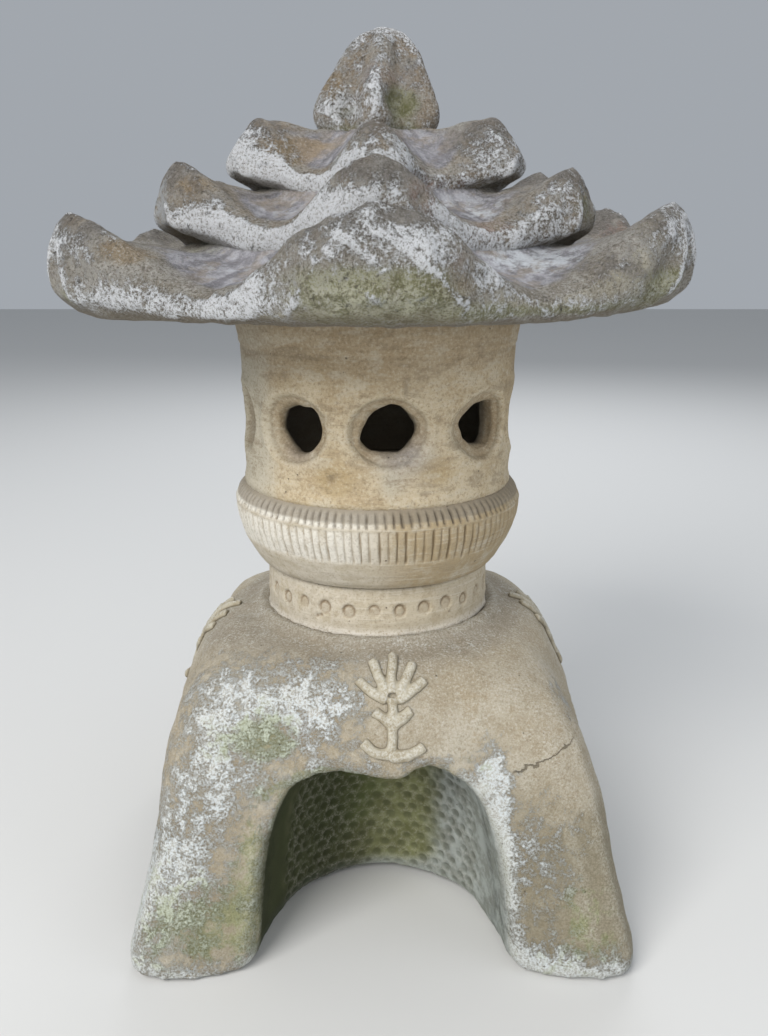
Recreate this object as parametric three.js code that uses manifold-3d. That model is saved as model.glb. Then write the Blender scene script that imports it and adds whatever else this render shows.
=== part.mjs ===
// A garden lantern of rough fired clay, built in dry-stacked stones: a four-legged base with a scooped
// niche in each side, a round fire box with nine windows, and a roof of three six-cornered tiers under a
// bud. A tealight stands on the floor of the fire box. Millimetres, +Z up, the ground at z = 0, the
// lantern's axis on the origin and one roof corner and one niche facing -Y.
import * as THREE from "three";
import { mergeVertices } from "three/addons/utils/BufferGeometryUtils.js";
import Module from "manifold-3d";

const wasm = await Module();
wasm.setup();

// ---------------------------------------------------------------- driving dimensions
const JOINT = 0.3; // bed between two pieces that rest on or are luted to each other
const SLIP = 2; // side play of a stone that is located by a rim

// base
const BASE_HEIGHT = 209;
const BASE_HALF_WIDTH = 150; // middle of a side, at the ground
const BASE_CORNER_REACH = 233; // axis to the tip of a foot, at the ground
const BASE_SPLAY = 0.13; // how far the corners stand out beyond straight sides
const NICHE_HALF_WIDTH = 84;
const NICHE_CROWN = 59; // from the top of the base down to the crown of a niche
const NICHE_WALL = 18; // clay left between a niche and the well
const WELL_RADIUS = 34; // hollow up the middle, at the ground
const CUSP_DROP = 11; // how far the point in the middle of the arch hangs down
const CUSP_WIDTH = 17;
const FOOT_INNER_RADIUS = 118; // inside this the underside is cut back from the ground
const UNDERSIDE_RELIEF = 3;
const SPIGOT_HEIGHT = 8; // low rim that the foot ring drops over
const SPIGOT_WALL = 8;

// fire box
const FOOT_RING_HEIGHT = 38;
const FOOT_RING_RADIUS = 83;
const FOOT_RING_WALL = 20;
const BOWL_HEIGHT = 60;
const BOWL_BULGE = 8.5; // how far the bowl stands out beyond the chamber
const BOWL_FLOOR = 20;
const CHAMBER_HEIGHT = 122;
const CHAMBER_RADIUS = 96.5; // just above the bowl
const CHAMBER_WALL = 16;
const CHAMBER_LIP = 5; // how far the mouth flares beyond the wall
const WINDOW_COUNT = 9;
const WINDOW_PHASE = 5; // degrees from the front to the first window
const WINDOW_RADIUS = 17.5; // half the width of the hole itself
const WINDOW_RECESS_RADIUS = 24.5; // half the width of the scooped recess around it
const WINDOW_SQUASH = 0.86; // height of a window over its width
const WINDOW_HEIGHT = 49; // middle of the windows above the chamber's own foot
const WINDOW_LEDGE = 4; // straight stretch of the hole, from the inside

// roof
const ROOF_CORNERS = 6;
const ROOF_RIM_HEIGHT = 8; // locating rim under the roof, inside the mouth of the chamber
const ROOF_RIM_WALL = 8;
const ROOF_HOOD = 25; // hollow over the flame
const BED_MARGIN = 9; // how far a tier's underside stays inside the seat that it lies on

// Each tier: thick is its height at the middle and seat the radius of its flat top. Between two corners
// the edge has the radius rim and runs from rimEdge up to rimTop. A corner has its point at the radius
// tip and the height tipTop, its widest radius is prow, and its lower edge lies at the radius tipFoot,
// with a crevice of the height gap under it. Heights are above the tier's own bed.
const LOWER = {
  thick: 36, seat: 116, foot: 150, rim: 188, rimEdge: 2, rimTop: 18, sharpness: 1,
  tip: 205, tipTop: 67, prow: 217, prowLow: 22, prowHigh: 48, tipFoot: 192, tipEdge: 3,
};
const MIDDLE = {
  thick: 34, seat: 72, rim: 130, rimEdge: 5, rimTop: 19, sharpness: 1.3,
  tip: 141, tipTop: 57, prow: 154, prowLow: 21, prowHigh: 33, tipFoot: 147, gap: 10,
};
const UPPER = {
  thick: 41, seat: 36, rim: 83, rimEdge: 5, rimTop: 17, sharpness: 1.3,
  tip: 90, tipTop: 49, prow: 107, prowLow: 18, prowHigh: 25, tipFoot: 101, gap: 7,
};
const BUD_HEIGHT = 68;
const BUD_RIDGE_RADIUS = 46;
const BUD_FACE_RADIUS = 37;
const BUD_GAP = 2.5; // crevice under a ridge of the bud
const CORNER_RISE = 8; // how far a tier climbs outward along a corner, from its seat
const RISE_AT = 0.55; // where it has climbed that far: share of the way from the seat to the tip

// applied ornament: a lotus of five petals on a stem, on the shoulder over each niche
const ORNAMENT_RELIEF = 3.4;
const PETAL_LENGTH = 34;
const PETAL_WIDTH = 9;
const PETAL_SPREAD = 38; // degrees from one petal to the next
const LEAF_LENGTH = 20;
const LEAF_SPREAD = 62; // degrees from the stem
const STEM_LENGTH = 32;
const STEM_WIDTH = 7;
const ORNAMENT_SHIFT = 8; // the lotus stands this far right of the middle of its face
const ORNAMENT_SLOPE = 52; // degrees, how steep the shoulder is under it

// tealight
const TEALIGHT_RADIUS = 19;
const TEALIGHT_HEIGHT = 16;
const TEALIGHT_WALL = 0.6;
const WAX_HEIGHT = 12;
const WICK_RADIUS = 0.9;
const WICK_STAND = 8; // wick above the wax
const SUSTAINER_RADIUS = 7;
const SUSTAINER_THICKNESS = 0.8;
const COLLAR_HEIGHT = 4;
const COLLAR_WALL = 0.9;

const AROUND = 64; // facets around the large turned forms
const PAST = 10; // how far a cut runs past the face that it opens

// ---------------------------------------------------------------- levels, from the ground up
const ringZ = BASE_HEIGHT + JOINT;
const bowlZ = ringZ + FOOT_RING_HEIGHT + JOINT;
const chamberZ = bowlZ + BOWL_HEIGHT + JOINT;
const roofZ = chamberZ + CHAMBER_HEIGHT + JOINT;
const middleZ = roofZ + LOWER.thick + JOINT;
const upperZ = middleZ + MIDDLE.thick + JOINT;
const budZ = upperZ + UPPER.thick + JOINT;
const floorZ = bowlZ + BOWL_FLOOR;
const ringBore = FOOT_RING_RADIUS - FOOT_RING_WALL;
const spigotRadius = ringBore - SLIP;
const chamberBore = CHAMBER_RADIUS - CHAMBER_WALL;
const roofRimRadius = chamberBore - SLIP;
const bowlRadius = CHAMBER_RADIUS + BOWL_BULGE;
const spigotTop = BASE_HEIGHT + SPIGOT_HEIGHT;
const nicheHeight = BASE_HEIGHT - NICHE_CROWN;
const nicheDepth = BASE_HALF_WIDTH - NICHE_WALL - WELL_RADIUS;

// ---------------------------------------------------------------- helpers
const rad = THREE.MathUtils.degToRad;
const v2 = (point) => (point.isVector2 ? point : new THREE.Vector2(...point));

function solidOf(geometry) {
  const bare = new THREE.BufferGeometry().setAttribute("position", geometry.getAttribute("position"));
  if (geometry.index) bare.setIndex(geometry.index);
  const merged = mergeVertices(bare, 1e-3);
  return new wasm.Manifold(
    new wasm.Mesh({
      numProp: 3,
      vertProperties: merged.attributes.position.array,
      triVerts: new Uint32Array(merged.index.array),
    }),
  );
}

function geometryOf(solid) {
  const mesh = solid.getMesh();
  return new THREE.BufferGeometry()
    .setAttribute("position", new THREE.BufferAttribute(mesh.vertProperties, 3))
    .setIndex(new THREE.BufferAttribute(mesh.triVerts, 1));
}

// A round form about +Z from an outline of [radius, height] points, given upwards on its outside.
const turned = (points, around = AROUND) =>
  new THREE.LatheGeometry(points.map(v2), around).rotateX(Math.PI / 2);

// A form between two outlines with the same number of points: the first where share(angle) is 0, the
// second where it is 1. The angle runs from -Y towards +X.
function ribbed(low, high, share, around = AROUND) {
  const shape = new THREE.LatheGeometry(low, around);
  const place = shape.attributes.position;
  for (let k = 0; k < place.count; k++) {
    const angle = (Math.floor(k / low.length) * 2 * Math.PI) / around;
    const point = low[k % low.length].clone().lerp(high[k % low.length], share(angle));
    place.setXYZ(k, point.x * Math.sin(angle), point.y, point.x * Math.cos(angle));
  }
  return shape.rotateX(Math.PI / 2);
}

// A smooth curve through the points between the two ends, which stay on the axis.
function outline(points, steps) {
  const inner = new THREE.SplineCurve(points.slice(1, -1).map(v2)).getPoints(steps);
  return [v2(points[0]), ...inner, v2(points.at(-1))];
}

const cornerShare = (corners, sharpness) => (angle) =>
  ((1 + Math.cos(corners * angle)) / 2) ** sharpness;

const clay = (color, roughness = 0.95) => new THREE.MeshStandardMaterial({ color, roughness });
const lantern = new THREE.Group();
function add(name, geometry, material) {
  const mesh = new THREE.Mesh(geometry, material);
  mesh.name = name;
  lantern.add(mesh);
  return mesh;
}

// ---------------------------------------------------------------- base
// The plan's radius over its half width: a square with round corners that splay out.
function plan(angle) {
  const power = 8;
  const [across, along] = [Math.sin(angle), Math.cos(angle)].map(Math.abs).sort((a, b) => a - b);
  const splay = BASE_SPLAY * THREE.MathUtils.smoothstep(across / along, 0.4, 1);
  return (across ** power + along ** power) ** (-1 / power) * (1 + splay);
}
const squareShare = (angle) => (plan(angle) - 1) / (plan(Math.PI / 4) - 1);

// Radius of a point that lies a share of the way out from the foot ring to `reach`.
const baseTop = FOOT_RING_RADIUS + 1;
const outward = (reach, along) => THREE.MathUtils.lerp(baseTop, reach, along);

// The outside, swollen by `grow` along the slope of its shoulder.
function baseBody(grow = 0) {
  const point = (reach, [along, up]) => [
    outward(reach, along) + 0.8 * grow,
    BASE_HEIGHT * up + 0.6 * grow,
  ];
  // Shares of the way out and of the height, along the middle of a side and along a leg.
  const side = [[0, 1], [0.42, 0.98], [0.65, 0.91], [0.79, 0.82], [0.91, 0.7], [0.98, 0.45], [1, 0]];
  const leg = [[0, 1], [0.25, 0.97], [0.49, 0.89], [0.655, 0.765], [0.76, 0.59], [0.87, 0.31], [1, 0]];
  const axis = (up) => [0, BASE_HEIGHT * up + 0.6 * grow];
  const profile = (reach, shape) =>
    outline([axis(0), ...shape.map((p) => point(reach, p)).reverse(), axis(1)], 12);
  return solidOf(
    ribbed(profile(BASE_HALF_WIDTH, side), profile(BASE_CORNER_REACH, leg), squareShare),
  );
}

// One scooped niche: a bell about an upright axis, drawn out inwards, with a cusp along its crown.
function niche() {
  const wide = (share) => NICHE_HALF_WIDTH * share;
  const high = (share) => nicheHeight * share;
  const bell = outline([
    [0, -PAST], [wide(1), -PAST], [wide(0.97), high(0.3)], [wide(0.88), high(0.65)],
    [wide(0.7), high(0.87)], [wide(0.42), high(0.98)], [0, high(1)],
  ], 12);
  const shape = turned(bell, 40).scale(1, nicheDepth / NICHE_HALF_WIDTH, 1);
  const place = shape.attributes.position;
  for (let k = 0; k < place.count; k++) {
    const height = Math.max(0, place.getZ(k) / nicheHeight);
    const drop = CUSP_DROP * Math.exp(-((place.getX(k) / CUSP_WIDTH) ** 2)) * height ** 4;
    place.setZ(k, place.getZ(k) - drop);
  }
  return solidOf(shape.translate(0, -BASE_HALF_WIDTH, 0));
}

// The well up the middle, wider under the shoulder, which opens at the ground and inside the spigot.
function well() {
  const mouth = spigotRadius - SPIGOT_WALL;
  return solidOf(turned([
    [0, -PAST], [WELL_RADIUS, -PAST], [WELL_RADIUS, BASE_HEIGHT * 0.42],
    [mouth + SPIGOT_WALL, BASE_HEIGHT * 0.76], [mouth, BASE_HEIGHT * 0.93],
    [mouth, spigotTop + PAST], [0, spigotTop + PAST],
  ], 48));
}

const disc = (radius, low, high) =>
  solidOf(turned([[0, low], [radius, low], [radius, high], [0, high]], 48));

function legBase() {
  let body = baseBody()
    .add(disc(spigotRadius, BASE_HEIGHT / 2, spigotTop))
    .subtract(well())
    .subtract(disc(FOOT_INNER_RADIUS, -PAST, UNDERSIDE_RELIEF));
  for (let side = 0; side < 4; side++) body = body.subtract(niche().rotate([0, 0, 90 * side]));
  return geometryOf(body);
}
add("leg_base", legBase(), clay(0xb3a88c));

// ---------------------------------------------------------------- ornaments
const PRISM = 60; // height of the upright prisms that the lotus is cut from

// One petal, an almond that stands on the origin and points along +Y.
function petal(length, width) {
  const edge = new THREE.Shape();
  edge.moveTo(0, 0);
  edge.bezierCurveTo(width, length * 0.3, width * 0.55, length * 0.75, 0, length);
  edge.bezierCurveTo(-width * 0.55, length * 0.75, -width, length * 0.3, 0, 0);
  return new THREE.ExtrudeGeometry(edge, { depth: PRISM, bevelEnabled: false, curveSegments: 6 });
}

// The lotus as upright prisms through the shoulder, then only what lies just over the clay.
function ornament() {
  const stem = new THREE.BoxGeometry(STEM_WIDTH, STEM_LENGTH, PRISM);
  let flower = solidOf(stem.translate(0, 3 - STEM_LENGTH / 2, PRISM / 2));
  for (let step = -2; step <= 2; step++) {
    const length = PETAL_LENGTH * (1 - 0.08 * Math.abs(step));
    flower = flower.add(solidOf(petal(length, PETAL_WIDTH).rotateZ(rad(-step * PETAL_SPREAD))));
  }
  for (const side of [-1, 1]) {
    const leaf = petal(LEAF_LENGTH, PETAL_WIDTH).rotateZ(rad(side * LEAF_SPREAD));
    flower = flower.add(solidOf(leaf.translate(0, 4 - STEM_LENGTH, 0)));
  }
  return flower
    .translate([0, 0, -PRISM / 2])
    .rotate([ORNAMENT_SLOPE, 0, 0])
    .translate([ORNAMENT_SHIFT, -outward(BASE_HALF_WIDTH, 0.57), BASE_HEIGHT * 0.84]);
}

const overClay = baseBody(ORNAMENT_RELIEF).subtract(baseBody(JOINT));
["front", "right", "back", "left"].forEach((face, side) => {
  const relief = ornament().rotate([0, 0, 90 * side]).intersect(overClay);
  add(`ornament_${face}`, geometryOf(relief), clay(0xb9b09a));
});

// ---------------------------------------------------------------- fire box
add("foot_ring", turned([
  [ringBore, ringZ], [FOOT_RING_RADIUS, ringZ], [FOOT_RING_RADIUS, ringZ + FOOT_RING_HEIGHT],
  [ringBore, ringZ + FOOT_RING_HEIGHT], [ringBore, ringZ],
]), clay(0xc9b995));

// The bulge of the bowl, from the edge over the foot ring to the crease under the chamber.
const bowlUp = (share) => bowlZ + BOWL_HEIGHT * share;
const bulge = new THREE.SplineCurve([
  [FOOT_RING_RADIUS + 3, bowlUp(0)], [bowlRadius - 9.5, bowlUp(0.22)], [bowlRadius - 3.5, bowlUp(0.45)],
  [bowlRadius, bowlUp(0.72)], [bowlRadius - 2.5, bowlUp(0.9)], [CHAMBER_RADIUS - 1.5, bowlUp(1)],
].map(v2)).getPoints(10);
add("ribbed_bowl", turned([
  [0, bowlZ], ...bulge, [chamberBore, bowlUp(1)], [chamberBore - 1, floorZ + 14],
  [chamberBore - 6, floorZ + 5], [chamberBore - 14, floorZ], [0, floorZ],
]), clay(0xcabb98));

// A window: a straight hole from the inside, then a recess that widens to the outside.
function windowCutter() {
  const start = chamberBore - 1.4 * PAST;
  const ledge = chamberBore + WINDOW_LEDGE;
  const flare = (WINDOW_RECESS_RADIUS - WINDOW_RADIUS) / (CHAMBER_WALL - WINDOW_LEDGE);
  const end = CHAMBER_RADIUS + CHAMBER_LIP + PAST;
  const mouth = WINDOW_RADIUS + flare * (end - ledge);
  const outline = [[0, start], [WINDOW_RADIUS, start], [WINDOW_RADIUS, ledge], [mouth, end], [0, end]];
  return new THREE.LatheGeometry(outline.map(v2), 20).rotateX(Math.PI).scale(1, 1, WINDOW_SQUASH);
}

function lightChamber() {
  const up = (share) => chamberZ + CHAMBER_HEIGHT * share;
  const mouth = CHAMBER_RADIUS + CHAMBER_LIP;
  let wall = solidOf(turned([
    [chamberBore, up(0)], [CHAMBER_RADIUS, up(0)], [CHAMBER_RADIUS + 1.2, up(0.65)],
    [CHAMBER_RADIUS + 2, up(0.78)], [mouth, up(0.9)], [mouth, up(1)], [chamberBore, up(1)],
    [chamberBore, up(0)],
  ]));
  for (let k = 0; k < WINDOW_COUNT; k++) {
    const turn = rad(WINDOW_PHASE + (360 * k) / WINDOW_COUNT);
    const cutter = windowCutter().translate(0, 0, chamberZ + WINDOW_HEIGHT).rotateZ(turn);
    wall = wall.subtract(solidOf(cutter));
  }
  return geometryOf(wall);
}
add("light_chamber", lightChamber(), clay(0xc4b48c));

// ---------------------------------------------------------------- roof
// How high a tier has climbed above its seat at a radius, along one of its corners.
const rise = (t, radius) => (CORNER_RISE * (radius - t.seat)) / (RISE_AT * (t.tip - t.seat));

// A tier on its bed, over the tier `under` it. Both outlines run along the underside, over the edge and
// up the slope to the seat, the first between two corners and the second at a corner.
function tier(t, bed, under) {
  const slope = (share, from, to) => from + (to - from) * share;
  const foot = under ? under.seat - BED_MARGIN : t.foot;
  const tipEdge = under ? rise(under, t.tipFoot) + t.gap : t.tipEdge;
  const back = t.thick + CORNER_RISE;
  const between = [
    [0, 0], [foot, 0], [t.rim - 9, t.rimEdge - 0.6], [t.rim - 1, t.rimEdge + 1.5],
    [t.rim + 1.5, slope(0.5, t.rimEdge, t.rimTop)], [t.rim, t.rimTop - 2], [t.rim - 6, t.rimTop],
    [slope(0.3, t.rim, t.seat), slope(0.22, t.rimTop, t.thick)],
    [slope(0.65, t.rim, t.seat), slope(0.62, t.rimTop, t.thick)], [t.seat, t.thick], [0, t.thick],
  ];
  const corner = [
    [0, 0], [foot - 2, 0], [t.tipFoot, tipEdge],
    [slope(0.7, t.tipFoot, t.prow), slope(0.5, tipEdge, t.prowLow)],
    [t.prow, t.prowLow], [t.prow, t.prowHigh], [t.tip, t.tipTop],
    [slope(0.18, t.tip, t.seat), slope(0.52, t.tipTop, back)],
    [slope(RISE_AT, t.seat, t.tip), slope(0.9, t.tipTop, back)], [t.seat, t.thick], [0, t.thick],
  ];
  const share = cornerShare(ROOF_CORNERS, t.sharpness);
  return ribbed(outline(between, 16), outline(corner, 16), share, 60).translate(0, 0, bed);
}

// The lowest tier has the rim that drops into the chamber's mouth, and the hollow over the flame.
function lowerTier() {
  const hollow = roofRimRadius - ROOF_RIM_WALL;
  const hood = solidOf(turned([
    [0, roofZ - ROOF_RIM_HEIGHT - PAST], [hollow, roofZ - ROOF_RIM_HEIGHT - PAST], [hollow, roofZ],
    [hollow * 0.8, roofZ + ROOF_HOOD * 0.7], [hollow * 0.45, roofZ + ROOF_HOOD], [0, roofZ + ROOF_HOOD],
  ], 48));
  const rim = disc(roofRimRadius, roofZ - ROOF_RIM_HEIGHT, roofZ + ROOF_HOOD / 2);
  return geometryOf(solidOf(tier(LOWER, roofZ)).add(rim).subtract(hood));
}
add("roof_lower_tier", lowerTier(), clay(0x9a9384));
add("roof_middle_tier", tier(MIDDLE, middleZ, LOWER), clay(0x9d9686));
add("roof_upper_tier", tier(UPPER, upperZ, MIDDLE), clay(0x9f9888));

// The bud: six ridges, with a hollow low in the face between each two.
function bud() {
  const up = (share) => BUD_HEIGHT * share;
  const foot = UPPER.seat - 3;
  const edge = rise(UPPER, BUD_RIDGE_RADIUS) + BUD_GAP;
  const face = [
    [0, 0], [foot, 0], [BUD_FACE_RADIUS, edge + 1], [BUD_FACE_RADIUS - 3, up(0.22)],
    [BUD_FACE_RADIUS - 3, up(0.36)], [BUD_FACE_RADIUS * 0.68, up(0.6)],
    [BUD_FACE_RADIUS * 0.36, up(0.88)], [4, up(0.99)], [0, up(1)],
  ];
  const ridge = [
    [0, 0], [foot, 0], [BUD_RIDGE_RADIUS - 2, edge], [BUD_RIDGE_RADIUS, up(0.18)],
    [BUD_RIDGE_RADIUS * 0.9, up(0.36)], [BUD_RIDGE_RADIUS * 0.6, up(0.64)],
    [BUD_RIDGE_RADIUS * 0.3, up(0.9)], [4, up(0.99)], [0, up(1)],
  ];
  return ribbed(outline(face, 12), outline(ridge, 12), cornerShare(ROOF_CORNERS, 0.8), 36);
}
add("roof_bud", bud().translate(0, 0, budZ), clay(0xa19a8a));

// ---------------------------------------------------------------- tealight
const metal = new THREE.MeshStandardMaterial({ color: 0xc8c9cb, roughness: 0.35, metalness: 1 });
const foil = new THREE.MeshStandardMaterial({ color: 0xb9babc, roughness: 0.4, metalness: 1 });
const wax = new THREE.MeshStandardMaterial({ color: 0xf1ead9, roughness: 0.5 });
const cotton = new THREE.MeshStandardMaterial({ color: 0x3a332c, roughness: 0.9 });
const cupZ = floorZ + JOINT;
const cupFloor = cupZ + TEALIGHT_WALL;
const cupBore = TEALIGHT_RADIUS - TEALIGHT_WALL;
const cupTop = cupZ + TEALIGHT_HEIGHT;
add("tealight_cup", turned([
  [0, cupZ], [TEALIGHT_RADIUS, cupZ], [TEALIGHT_RADIUS, cupTop], [cupBore, cupTop],
  [cupBore, cupFloor], [0, cupFloor],
], 32), metal);

// The wick stands in a small plate with a collar.
const plateZ = cupFloor + JOINT;
const plateTop = plateZ + SUSTAINER_THICKNESS;
const collar = WICK_RADIUS + COLLAR_WALL;
const collarTop = plateZ + COLLAR_HEIGHT;
add("wick_sustainer", turned([
  [0, plateZ], [SUSTAINER_RADIUS, plateZ], [SUSTAINER_RADIUS, plateTop], [collar, plateTop],
  [collar, collarTop], [0, collarTop],
], 20), foil);

// The wax is cast around the plate, so its underside is hollowed to clear it.
const waxTop = plateZ + WAX_HEIGHT;
const waxBore = collar + JOINT;
const waxHollow = SUSTAINER_RADIUS + JOINT;
add("tealight_wax", turned([
  [waxHollow, plateZ], [cupBore - JOINT, plateZ], [cupBore - JOINT, waxTop], [waxBore, waxTop - 1.2],
  [waxBore, plateTop + JOINT], [waxHollow, plateTop + JOINT], [waxHollow, plateZ],
], 32), wax);

const wickZ = collarTop + JOINT;
const wickLength = waxTop + WICK_STAND - wickZ;
const wick = new THREE.CylinderGeometry(WICK_RADIUS, WICK_RADIUS, wickLength, 10).rotateX(Math.PI / 2);
add("wick", wick.translate(0, 0, wickZ + wickLength / 2), cotton);

export default lantern;
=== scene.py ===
import math

import bmesh
import bpy
import numpy as np
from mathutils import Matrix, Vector
from mathutils.bvhtree import BVHTree


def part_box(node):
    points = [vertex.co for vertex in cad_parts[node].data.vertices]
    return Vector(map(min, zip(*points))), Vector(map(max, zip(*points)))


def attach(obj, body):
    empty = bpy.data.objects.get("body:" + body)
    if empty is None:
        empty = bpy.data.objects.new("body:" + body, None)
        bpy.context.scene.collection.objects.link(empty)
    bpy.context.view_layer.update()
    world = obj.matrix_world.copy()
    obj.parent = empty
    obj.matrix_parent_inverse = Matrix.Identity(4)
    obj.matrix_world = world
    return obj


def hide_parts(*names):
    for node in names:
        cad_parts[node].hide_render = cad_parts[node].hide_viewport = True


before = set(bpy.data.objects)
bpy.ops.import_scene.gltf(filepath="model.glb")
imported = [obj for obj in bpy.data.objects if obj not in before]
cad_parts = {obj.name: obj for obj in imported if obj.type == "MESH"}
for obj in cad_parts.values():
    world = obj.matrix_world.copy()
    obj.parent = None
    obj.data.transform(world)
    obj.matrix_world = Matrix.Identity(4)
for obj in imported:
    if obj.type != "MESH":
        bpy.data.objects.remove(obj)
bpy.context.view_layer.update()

# ---------------------------------------------------------------- the legged base
# One hand-built block of coarse pale clay that stands on four splayed feet. A niche is scooped into
# each side and its wall pressed all over with a fingertip, and the rim of each arch is rolled over.
# Rain has left white salts on the legs and arches and green growth where the clay stays damp.
MM = 1000.0  # the clay is worked in millimetres and stored in metres
BASE_GRAIN = 3.85  # spacing of the points that the base is worked with
NICHE_MIDDLE = 150.0  # the niche's upright axis, out from the lantern's own
NICHE_UP = np.array([-10.0, 45.0, 97.5, 130.5, 143.0, 150.0])
NICHE_HALF = np.array([84.0, 81.5, 74.0, 59.0, 42.0, 0.0])  # half width of the niche at those heights
NICHE_DRAW = 98 / 84  # the niche is deeper than it is wide
PRESS_PITCH = 10.4  # one fingertip mark to the next
PRESS_ROW = 9
PRESS_REACH = 4.3
PRESS_DEPTH = 2.1


def lumps(where, size, seed):
    """Smooth random swelling from -1 to 1, in lumps of about that many mm each way."""
    grid = where / np.array(size) + seed * 17.31
    cell = np.floor(grid).astype(np.int64)
    share = grid - cell
    share = share * share * (3 - 2 * share)
    total = np.zeros(len(where))
    for corner in range(8):
        step = np.array([corner & 1, corner >> 1 & 1, corner >> 2 & 1])
        x, y, z = (cell + step).T
        mixed = (x * 73856093) ^ (y * 19349663) ^ (z * 83492791)
        mixed = (mixed ^ (mixed >> 13)) * 1274126177
        height = ((mixed ^ (mixed >> 16)) & 65535) / 32767.5 - 1
        total += height * np.prod(np.where(step, share, 1 - share), axis=1)
    return total


def fade(values, low, high):
    """0 up to `low`, 1 from `high` on, softly between. With high below low it runs the other way."""
    share = np.clip((values - low) / (high - low), 0, 1)
    return share * share * (3 - 2 * share)


def patch(where, centre, reach):
    """A soft spot: 1 at its centre, faded over about `reach` mm."""
    return np.exp(-(((where - np.array(centre)) / np.array(reach)) ** 2).sum(1))


class Clay:
    """A piece being worked: its points in mm, the way each one faces, and the marks painted on it."""

    def __init__(self, mesh):
        self.mesh = mesh
        points = np.empty(len(mesh.vertices) * 3)
        mesh.vertices.foreach_get("co", points)
        self.at = points.reshape(-1, 3) * MM
        edges = np.empty(len(mesh.edges) * 2, np.int32)
        mesh.edges.foreach_get("vertices", edges)
        self.edges = edges.reshape(-1, 2)
        self.marks = {}
        self.settle()

    def settle(self):
        self.mesh.vertices.foreach_set("co", (self.at / MM).ravel())
        self.mesh.update()
        facing = np.empty(self.at.size)
        self.mesh.vertex_normals.foreach_get("vector", facing)
        self.facing = facing.reshape(-1, 3)
        self.angle = np.degrees(np.arctan2(self.at[:, 0], -self.at[:, 1]))
        self.out = np.hypot(self.at[:, 0], self.at[:, 1])
        self.up = self.at[:, 2]

    def evened(self, values, passes, share=0.5):
        """Values of the points, evened out with those of their neighbours."""
        one, other = self.edges.T
        count = np.maximum(np.bincount(self.edges.ravel(), minlength=len(values)), 1)[:, None]
        for _ in range(passes):
            near = np.stack([
                np.bincount(one, values[other, k], len(values))
                + np.bincount(other, values[one, k], len(values))
                for k in range(values.shape[1])
            ], 1)
            values = values + share * (near / count - values)
        return values

    def even(self, passes, where=None):
        share = 0.5 if where is None else 0.5 * where[:, None]
        self.at = self.evened(self.at, passes, share)
        self.settle()

    def push(self, amount, way=None):
        """Moves each point by its amount along the way it faces, or all along the same way."""
        self.at = self.at + np.asarray(amount)[:, None] * (self.facing if way is None else np.array(way))
        self.settle()

    def proud(self, passes):
        """How far each point stands out from its surroundings, in mm: negative in a hollow."""
        return ((self.at - self.evened(self.at, passes)) * self.facing).sum(1)

    def piece(self, name, material):
        for mark, values in self.marks.items():
            layer = self.mesh.attributes.new(mark, "FLOAT", "POINT")
            layer.data.foreach_set("value", np.clip(values, 0, 1).astype(np.float32))
        self.mesh.polygons.foreach_set("use_smooth", np.ones(len(self.mesh.polygons), bool))
        self.mesh.materials.clear()
        self.mesh.materials.append(material)
        self.mesh.name = name
        made = bpy.data.objects.new(name, self.mesh)
        bpy.context.scene.collection.objects.link(made)
        return made


def blank(node, grain, rubbing):
    """The plain form of a CAD node as one closed even skin, its facets rubbed down."""
    work = bmesh.new()
    work.from_mesh(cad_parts[node].data)
    bmesh.ops.remove_doubles(work, verts=work.verts, dist=1e-6)
    mesh = bpy.data.meshes.new(node + "_blank")
    work.to_mesh(mesh)
    work.free()
    rough = bpy.data.objects.new(mesh.name, mesh)
    bpy.context.scene.collection.objects.link(rough)
    skin = rough.modifiers.new("skin", "REMESH")
    skin.mode = "VOXEL"
    skin.voxel_size = grain / MM
    graph = bpy.context.evaluated_depsgraph_get()
    closed = bpy.data.meshes.new_from_object(rough.evaluated_get(graph))
    bpy.data.objects.remove(rough)
    clay = Clay(closed)
    clay.even(rubbing)
    return clay


class Tone:
    """A socket of a material, which can be added, subtracted and multiplied."""

    def __init__(self, paint, socket):
        self.paint, self.socket = paint, socket

    def sum_of(self, operation, first, second):
        return self.paint.node("ShaderNodeMath", {"operation": operation}, {0: first, 1: second})

    def __add__(self, other):
        return self.sum_of("ADD", self, other)

    def __radd__(self, other):
        return self.sum_of("ADD", other, self)

    def __sub__(self, other):
        return self.sum_of("SUBTRACT", self, other)

    def __rsub__(self, other):
        return self.sum_of("SUBTRACT", other, self)

    def __mul__(self, other):
        return self.sum_of("MULTIPLY", self, other)

    def __rmul__(self, other):
        return self.sum_of("MULTIPLY", other, self)


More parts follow.
